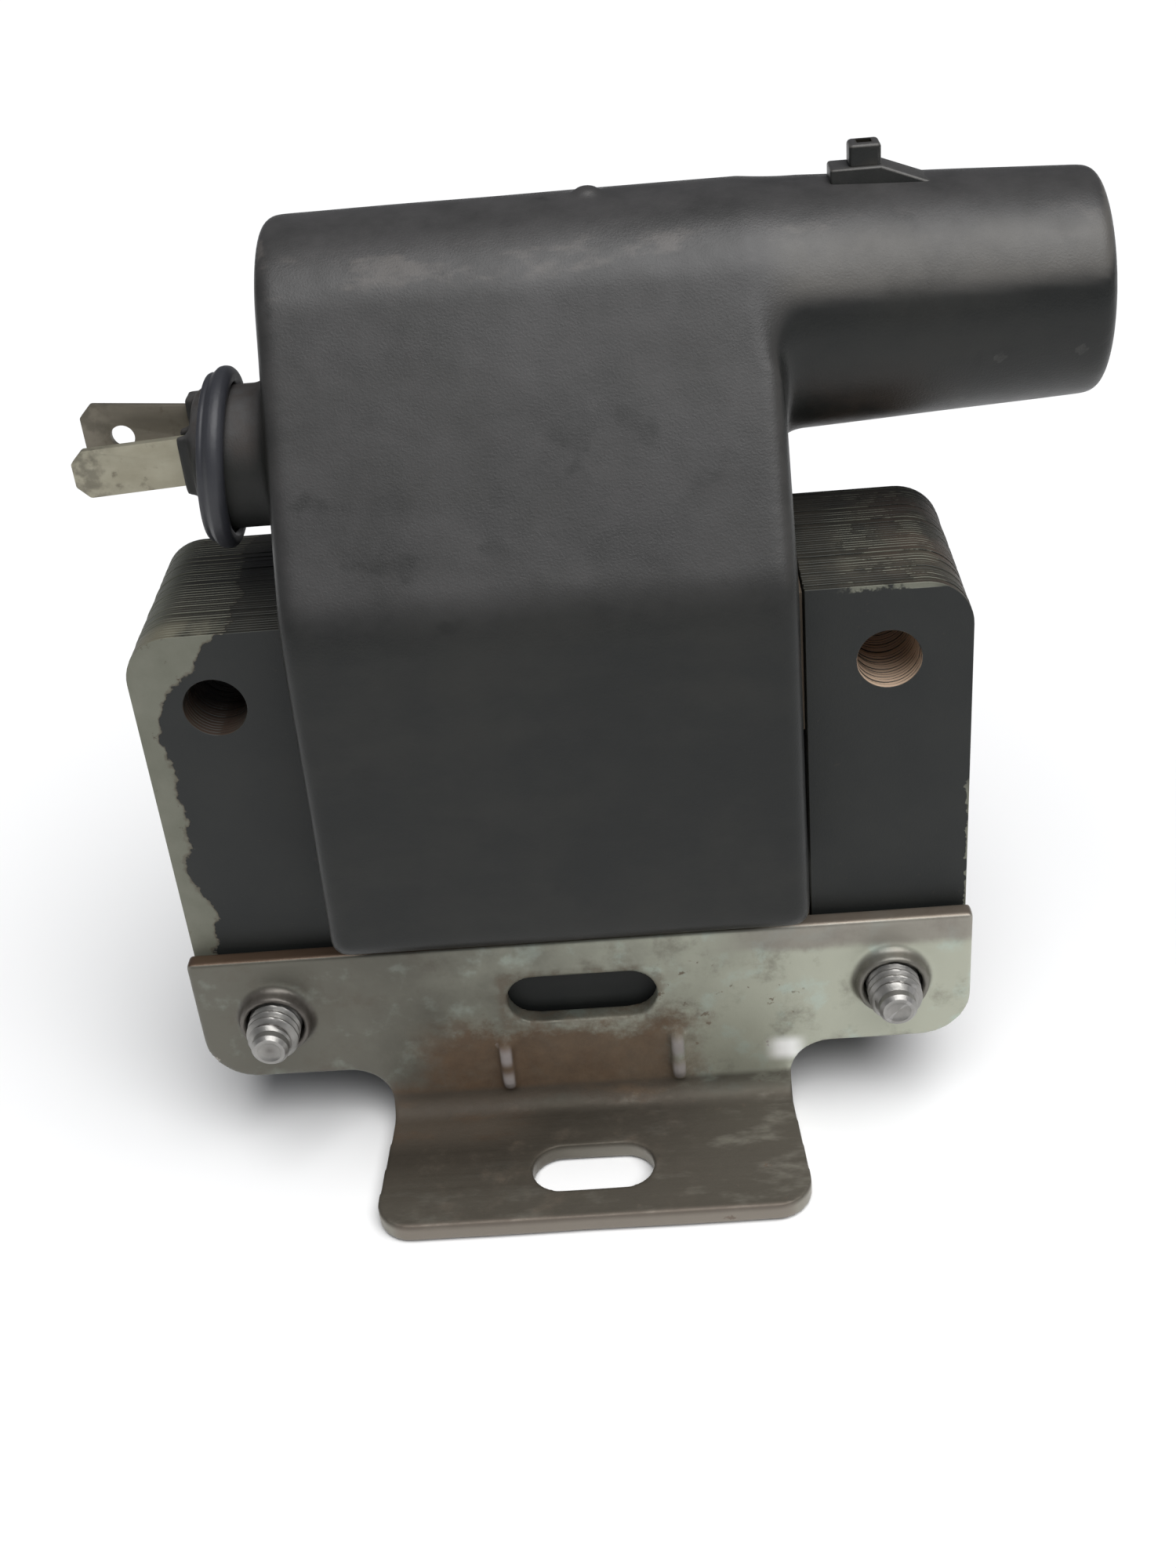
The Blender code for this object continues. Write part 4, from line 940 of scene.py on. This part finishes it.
def core_paint():
    """Electrical steel: black paint on the front, flaked at the left edge, and dusty brown sheet edges, with
    painted shade on the left top edges, a painted highlight along their front, and painted light and shade in
    the holes.
    """
    f = Finish("painted core", specular=0.4)
    front = f.band(f.normal_y, -0.5, -0.8)
    ragged = f.plus(
        f.drift(5.5, 5.5, 2, 0.5, seed=11), f.drift(2.0, 1.1, seed=12)
    )
    corner = f.times(f.most(f.minus(f.z, 20.0), 0), 1.15)
    reach = f.plus(f.plus(f.plus(ragged, corner), 2.9), f.times(f.least(f.z, 8), -0.03))
    inset = f.plus(f.x, CORE_HALF_X)
    bare_left = f.band(f.minus(reach, inset), -0.08, 0.12)
    chips = f.all(
        f.band(f.plus(f.minus(f.x, CORE_HALF_X), f.times(f.noise(1.6, seed=13), 2.2)), 0.82, 0.95),
        f.band(f.z, 6.0, 2.0),
    )
    top_strip = f.all(
        f.band(f.z, CORE_HALF_Z - 0.75, CORE_HALF_Z - 0.55), f.patches(0.45, 0.52, 3.5, seed=14),
        f.near(f.x, 34.0, 3.5, 6.0),
    )
    bare = f.most(f.most(bare_left, chips), top_strip)
    painted = f.times(front, f.minus(1.0, bare))
    steel = f.mix(f.noise(4, 5, 0.6, seed=15), (0.115, 0.12, 0.09), (0.215, 0.215, 0.175))
    rust_spots = f.patches(0.62, 0.72, 1.5, 5, 0.7, seed=16)
    rim = f.all(f.band(f.away(f.minus(reach, inset), 0.0), 0.55, 0.1), 0.5)
    steel = f.mix(f.most(rust_spots, rim), steel, (0.07, 0.048, 0.034))
    edge_sheet = f.add(
        "ShaderNodeTexWhiteNoise", settings={"noise_dimensions": "1D"},
        W=f.sum("FLOOR", f.times(f.y, SHEETS / CORE_DEPTH), 0),
    )
    grime = f.noise(7, 5, 0.65, stretch=(1, 0.5, 1), seed=17)
    old_edge = f.mix(f.band(grime, 0.35, 0.7), (0.022, 0.021, 0.016), (0.06, 0.052, 0.038))
    old_edge = f.mix(f.times(edge_sheet, 0.3), old_edge, (0.016, 0.015, 0.012))
    # painted shade: the top edges grow darker towards the left end
    old_edge = f.mix(f.band(f.x, -18.0, -24.0, 0.0, 0.6), old_edge, (0.008, 0.008, 0.006))
    brown = f.all(f.band(f.x, 30.0, 38.0), f.patches(0.35, 0.6, 5, 3, 0.6, seed=18), 0.6)
    old_edge = f.mix(brown, old_edge, (0.07, 0.046, 0.034))
    shoulder = f.all(f.band(f.x, -36.0, -39.5), 0.7)
    old_edge = f.mix(shoulder, old_edge, (0.1, 0.104, 0.085))
    # painted highlight: a lighter, mottled strip along the front of the left top edges
    painted_front_edge_highlight = f.all(f.band(f.y, 5.0, 1.0), f.band(f.x, -28.0, -34.0), f.band(grime, 0.35, 0.6), 0.8)
    old_edge = f.mix(painted_front_edge_highlight, old_edge, (0.13, 0.12, 0.085))
    metal = f.mix(front, old_edge, steel)
    black = f.mix(f.noise(9, seed=19), (0.006, 0.008, 0.0085), (0.019, 0.02, 0.018))
    specks = f.patches(0.68, 0.74, 0.9, 3, 0.6, seed=20)
    black = f.mix(f.times(specks, 0.4), black, (0.03, 0.025, 0.02))
    # painted shade on the walls of the left holes and painted light on the walls of the right ones
    from_hole = f.hypot(f.away(f.away(f.x, 0.0), HOLE_X), f.away(f.away(f.z, 0.0), HOLE_Z))
    hole_painted_light_and_shade = f.all(f.band(from_hole, HOLE_RADIUS + 0.12, HOLE_RADIUS + 0.06), f.minus(1.0, front))
    metal = f.mix(hole_painted_light_and_shade, metal, f.mix(f.band(f.x, -5, 5), (0.045, 0.03, 0.022), (0.5, 0.37, 0.27)))
    color = f.mix(painted, metal, black)
    rough = f.blend(painted, f.plus(0.42, f.times(grime, 0.25)), 0.56)
    metallic = f.blend(painted, f.times(front, 0.35), 0.0)
    film = f.bump(painted, 0.12, 1.0)
    tooth = f.bump(f.noise(0.3, 3, 0.6, seed=21), 0.04, 0.5, under=film)
    return f.done(color, rough, metallic, tooth)


def zinc_sheet():
    """Old zinc plating with painted light, pale at the right and dull at the left, rusted over the bend,
    brushed on the flange, with painted highlights at the right neck and on the rib ends.
    """
    f = Finish("zinc plated sheet", specular=0.5)
    patch = f.noise(8, 5, 0.6, seed=31)
    # painted light: the plate grows paler towards the right, as lit from the right, with ragged edges; the
    # white bloom follows it
    right = f.band(f.plus(f.x, f.times(f.minus(patch, 0.5), 40)), -26.0, 24.0)
    plate = f.mix(right, (0.125, 0.12, 0.098), (0.42, 0.43, 0.35))
    bloom = f.patches(0.52, 0.68, 4, seed=32)
    plate = f.mix(f.all(bloom, f.blend(right, 0.15, 0.6)), plate, (0.44, 0.52, 0.46))
    stain = f.patches(0.5, 0.75, 5, 5, 0.65, seed=33)
    plate = f.mix(f.times(stain, 0.55), plate, (0.1, 0.085, 0.065))
    upper = f.all(f.band(f.plus(f.z, f.times(patch, 3.0)), -13.6, -12.2), f.band(f.x, 12.0, 22.0), 0.75)
    plate = f.mix(upper, plate, (0.235, 0.21, 0.185))
    streak = f.noise(1.1, stretch=(0.05, 1, 0.35), seed=34)
    flange = f.mix(streak, (0.075, 0.067, 0.053), (0.23, 0.215, 0.18))
    dark_left = f.all(f.band(f.x, 2.0, -14.0), f.band(f.y, -15.0, -10.0), 0.75)
    flange = f.mix(dark_left, flange, (0.04, 0.031, 0.024))
    flange = f.mix(f.all(f.band(f.x, -6.0, 16.0), 0.7), flange, (0.33, 0.31, 0.27))
    front_third = f.all(f.band(f.y, -14.5, -18.0), 0.75)
    flange = f.mix(front_third, flange, (0.27, 0.255, 0.215))
    on_flange = f.band(f.z, -32.6, -33.8)
    color = f.mix(on_flange, plate, flange)
    ragged = f.plus(f.drift(11, 4.5, 5, 0.65, seed=35), f.drift(3, 1, 4, 0.7, seed=36))
    across = f.near(f.plus(f.x, f.times(ragged, 1.2)), -3.0, 10.5, 19.0)
    below, above = f.plus(f.z, ragged), f.plus(f.z, f.times(ragged, 0.3))
    down = f.all(f.band(below, -20.5, -24.5), f.band(above, -33.9, -32.6))
    rust = f.times(across, down)
    left_low = f.all(
        f.band(f.x, -3.0, -12.0), f.band(f.plus(f.z, f.times(ragged, 0.5)), -28.5, -31.0),
        f.band(f.y, -10.0, -6.0), 0.85,
    )
    spots = f.all(
        f.patches(0.66, 0.72, 1.7, 3, 0.6, seed=37), f.near(f.x, 14.0, 6.0, 13.0),
        f.band(f.z, -13.0, -15.5), 0.85,
    )
    slot_rim = f.all(
        f.near(f.z, -HOLE_Z, 3.6, 4.4), f.near(f.x, 0, 8.6, 9.8), f.patches(0.4, 0.6, 2, seed=38), 0.5
    )
    rust = f.most(f.most(rust, left_low), f.most(spots, slot_rim))
    rust_color = f.mix(f.noise(1.8, 5, 0.7, seed=39), (0.048, 0.025, 0.012), (0.16, 0.092, 0.046))
    worn = f.all(f.band(f.pointiness, 0.53, 0.6), f.patches(0.4, 0.62, 2.5, seed=40))
    # painted highlight: a white spot on the right neck fillet
    neck = f.all(f.near(f.x, 21.9, 0.5, 2.7), f.near(f.z, -28.0, 0.5, 2.2))
    streaky = f.patches(0.2, 0.5, 3, stretch=(0.4, 1, 1), seed=44)
    # darker, rougher streaks along the bend
    dark_bend_streaks = f.all(f.near(f.z, -32.7, 1.0, 2.0), streaky, 0.8)
    # painted highlights: pale spots on the ends of the two ribs
    on_rib = f.most(f.near(f.x, RIB_X[0], 0.45, 0.8), f.near(f.x, RIB_X[1], 0.5, 0.85))
    rib_ends = f.most(f.near(f.z, -29.6, 0.6, 2.0), f.near(f.z, -26.0, 0.4, 1.6))
    painted_rib_end_highlight = f.all(on_rib, rib_ends, f.band(f.y, -2.8, -3.3), 0.85)
    grime = f.all(f.band(f.pointiness, 0.485, 0.44), 0.6)
    cut_edge = f.all(f.band(f.y, -19.7, -20.3), 0.5)
    top_edge = f.all(f.band(f.normal_z, 0.6, 0.9), f.band(f.z, PLATE_TOP - 0.7, PLATE_TOP - 0.3))
    from_bolt = f.hypot(f.away(f.away(f.x, 0.0), HOLE_X), f.away(f.z, -HOLE_Z))
    collar = f.all(f.band(from_bolt, 4.7, 3.9), f.band(f.y, PLATE_FRONT + 0.1, PLATE_FRONT - 0.3), 0.85)
    collar_color = f.mix(f.noise(1.2, seed=45), (0.06, 0.052, 0.047), (0.16, 0.145, 0.13))
    color = f.coats(
        color,
        (f.times(rust, 0.88), rust_color),
        (f.times(worn, 0.75), (0.42, 0.385, 0.35)),
        (neck, (1.0, 1.0, 0.98)),
        (dark_bend_streaks, (0.075, 0.063, 0.048)),
        (painted_rib_end_highlight, (0.33, 0.3, 0.29)),
        (grime, (0.05, 0.04, 0.03)),
        (cut_edge, (0.19, 0.155, 0.13)),
        (f.times(top_edge, f.band(f.x, 10.0, -20.0, 0.6, 1.0)), (0.1, 0.065, 0.043)),
        (collar, collar_color),
    )
    rough = f.plus(f.blend(f.most(rust, dark_bend_streaks), 0.4, 0.75), f.drift(0.25, 1.6, 5, 0.7, seed=41))
    metallic = f.blend(rust, f.blend(on_flange, 0.55, 0.75), 0.05)
    pits = f.bump(f.noise(0.7, 5, 0.7, seed=42), 0.10, f.blend(rust, 0.25, 0.8))
    brushed = f.bump(streak, 0.06, f.times(on_flange, 0.5), under=pits)
    return f.done(color, rough, metallic, brushed)


def zinc_fastener():
    f = Finish("zinc plated fastener")
    tone = f.noise(2, 5, 0.6, seed=51)
    color = f.mix(tone, (0.18, 0.175, 0.165), (0.4, 0.39, 0.37))
    grime = f.band(f.pointiness, 0.49, 0.44)
    color = f.mix(f.times(grime, 0.8), color, (0.06, 0.05, 0.045))
    worn = f.band(f.pointiness, 0.53, 0.6)
    color = f.mix(f.times(worn, 0.5), color, (0.42, 0.41, 0.4))
    rough = f.plus(0.3, f.times(f.noise(1, seed=52), 0.2))
    return f.done(color, rough, 0.8, f.bump(f.noise(0.4, seed=53), 0.04, 0.5))


def tinned_brass():
    """Blade metal: pale where it is handled, with brown stains, duller at the back."""
    f = Finish("tinned brass")
    patch = f.noise(3.2, 5, 0.6, stretch=(0.6, 1, 1), seed=61)
    pale = f.mix(patch, (0.24, 0.22, 0.155), (0.46, 0.44, 0.35))
    dull = f.mix(patch, (0.13, 0.117, 0.09), (0.25, 0.225, 0.18))
    color = f.mix(f.band(f.y, 9.0, 11.0), pale, dull)
    stain = f.patches(0.58, 0.72, 1.6, seed=62)
    color = f.mix(f.times(stain, 0.6), color, (0.1, 0.085, 0.06))
    tip = f.all(f.band(f.x, -38.5, -42.5), f.patches(0.4, 0.6, 2, seed=63), 0.6)
    color = f.mix(tip, color, (0.1, 0.09, 0.07))
    rough = f.plus(0.36, f.times(f.noise(1.2, 5, 0.7, seed=64), 0.3))
    scratch = f.bump(f.noise(0.5, 3, 0.6, stretch=(0.08, 1, 1), seed=65), 0.05, 0.5)
    return f.done(color, rough, 0.7, scratch)


def simple(name, dark, light, size, rough, metallic=0.0, *, seed, grain=0.3, depth=0.04, stretch=(1, 1, 1)):
    """A finish with cloudy colour, uneven gloss and fine grain."""
    f = Finish(name)
    cloud = f.noise(size, 5, 0.6, seed=seed)
    color = f.mix(cloud, dark, light)
    uneven = f.plus(rough - 0.08, f.times(f.noise(size / 2.5, seed=seed + 1), 0.16))
    fine = f.bump(f.noise(grain, stretch=stretch, seed=seed + 2), depth, 0.5)
    return f.done(color, uneven, metallic, fine)


def wound_wire(name, dark, light, pitch):
    """Enamelled wire wound round the limb, in turns side by side along X."""
    f = Finish(name)
    scale = tau / 20 / pitch
    turns = f.add("ShaderNodeTexWave", 1, settings={"bands_direction": "X"}, Vector=f.point, Scale=scale)
    color = f.mix(f.times(turns, f.noise(3, 3, 0.5, seed=81)), dark, light)
    return f.done(color, 0.3, 0.9, f.bump(turns, pitch / 2, 0.8))


def make_camera():
    """In front of the coil, a little above, and tipped."""
    yaw, pitch, roll = radians(3.03), radians(32.85), radians(-5.66)
    target, distance = TO_FRAME @ Vector((2.81, 0, 6.88)), 192.3 * MM
    right = Vector((cos(yaw), sin(yaw), 0))
    up = Vector((-sin(yaw) * sin(pitch), cos(yaw) * sin(pitch), cos(pitch)))
    forward = right.cross(up) * -1
    across = right * cos(roll) + up * sin(roll)
    upward = up * cos(roll) - right * sin(roll)
    data = bpy.data.cameras.new("camera")
    data.lens, data.sensor_width, data.clip_start = 43.2, 36, 0.01
    camera = place("camera", data)
    turn = Matrix((across, upward, -forward)).transposed().to_4x4()
    camera.matrix_world = Matrix.Translation(target - forward * distance) @ turn
    bpy.context.scene.camera = camera


def make_light():
    """A broad, soft sun from the front right and above."""
    data = bpy.data.lights.new("key", "SUN")
    data.energy, data.angle = 3.6, radians(56)
    azimuth, elevation = radians(32), radians(66)
    away = Vector((sin(azimuth) * cos(elevation), -cos(azimuth) * cos(elevation), sin(elevation)))
    lamp = place("key", data)
    lamp.location = away
    lamp.rotation_euler = away.to_track_quat("Z", "Y").to_euler()


def make_stage():
    """A pale floor in a dim room."""
    half = 3.0
    corners = [(-half, -half, 0), (half, -half, 0), (half, half, 0), (-half, half, 0)]
    floor = solid("floor", corners, [(0, 1, 2, 3)])
    floor.data.transform(Matrix.Translation((0, 0, -0.0002)))
    paper = bpy.data.materials.new("pale floor")
    paper.use_nodes = True
    inputs = paper.node_tree.nodes["Principled BSDF"].inputs
    inputs["Base Color"].default_value = (0.9, 0.9, 0.9, 1)
    inputs["Roughness"].default_value = 0.9
    floor.data.materials.append(paper)
    world = bpy.data.worlds.new("room")
    world.use_nodes = True
    inputs = world.node_tree.nodes["Background"].inputs
    inputs["Color"].default_value = (0.9, 0.93, 1.0, 1)
    inputs["Strength"].default_value = 0.14
    bpy.context.scene.world = world
    bpy.context.scene.view_settings.view_transform = "Standard"


def main():
    make_camera()
    make_stage()
    make_light()
    plastic = case_plastic()
    finished(make_case(), plastic, ["case"], 60)
    finished(make_lug(), plastic)
    tones = (0.014, 0.015, 0.02), (0.035, 0.036, 0.042)
    rubber = simple("rubber", *tones, 4, 0.5, seed=91, grain=0.4, depth=0.05)
    finished(make_seal(), rubber, ["connector_seal"])
    tabs = tinned_brass()
    for name, sizes in BLADES.items():
        finished(make_blade(f"blade_{name}", *sizes), tabs, [f"terminal_blade_{name}"])
    brass = simple("brass", (0.42, 0.3, 0.12), (0.68, 0.52, 0.25), 3, 0.32, 0.95, seed=95, stretch=(6, 1, 1))
    finished(make_terminal(), brass, ["hv_terminal"])
    tones = (0.014, 0.014, 0.015), (0.03, 0.029, 0.028)
    resin = simple("potting resin", *tones, 12, 0.3, seed=98, grain=2.0, depth=0.06)
    finished(make_potting(), resin, ["potting_compound"], 50)

    painted = core_paint()
    varnish = simple("core varnish", (0.02, 0.018, 0.015), (0.04, 0.035, 0.028), 3, 0.4, seed=101)
    limb_end = U_HIGH.x
    low_limb = [(limb_end, -CORE_HALF_Z, 0), (limb_end, -WINDOW_Z, 0), (-WINDOW_X, -WINDOW_Z, 0)]
    high_limb = [(u, -v, 0) for u, v, _ in reversed(low_limb)]
    left_end = [(-CORE_HALF_X, CORE_HALF_Z, CORE_CORNER), (-CORE_HALF_X, -CORE_HALF_Z, CORE_CORNER)]
    right_end = [(-u, -v, radius) for u, v, radius in left_end]
    u_corners = [*low_limb, *high_limb, *left_end]
    i_corners = [(WINDOW_X, -CORE_HALF_Z, 0), *right_end, (WINDOW_X, CORE_HALF_Z, 0)]
    for name, corners, hole_x, node in (
        ("u_sheets", u_corners, -HOLE_X, "core_u_stack"), ("i_sheets", i_corners, HOLE_X, "core_i_stack")
    ):
        sheets, filler = stack(name, corners, hole_x)
        finished(sheets, painted, [node])
        finished(filler, varnish)

    finished(make_bracket(), zinc_sheet(), ["mounting_bracket"], 60)
    fastener = zinc_fastener()
    for side, x in (("left", -HOLE_X), ("right", HOLE_X)):
        bolt, washer = make_bolt(f"threaded_bolt_{side}", x), make_washer(f"chamfered_washer_{side}", x)
        finished(bolt, fastener, [f"core_bolt_{side}"])
        finished(washer, fastener, [f"bolt_washer_{side}"])

    primary = wound_wire("primary wire", (0.16, 0.05, 0.02), (0.7, 0.3, 0.12), 0.55)
    secondary = wound_wire("secondary wire", (0.14, 0.04, 0.015), (0.55, 0.2, 0.08), 0.12)
    bobbin = simple("bobbin plastic", (0.55, 0.5, 0.38), (0.72, 0.67, 0.54), 6, 0.45, seed=105)
    lead = simple("enamelled lead", (0.4, 0.16, 0.06), (0.68, 0.32, 0.14), 2, 0.3, 0.9, seed=108)
    board = simple("shim board", (0.05, 0.037, 0.025), (0.1, 0.075, 0.05), 1.5, 0.8, seed=111)
    inner = {"winding": secondary, "bobbin": bobbin, "lead": lead, "shim": board}
    for name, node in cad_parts.items():
        if node.hide_render:
            continue
        finish = primary if name == "primary_winding" else next(v for k, v in inner.items() if k in name)
        node.data.materials.clear()
        node.data.materials.append(finish)


main()
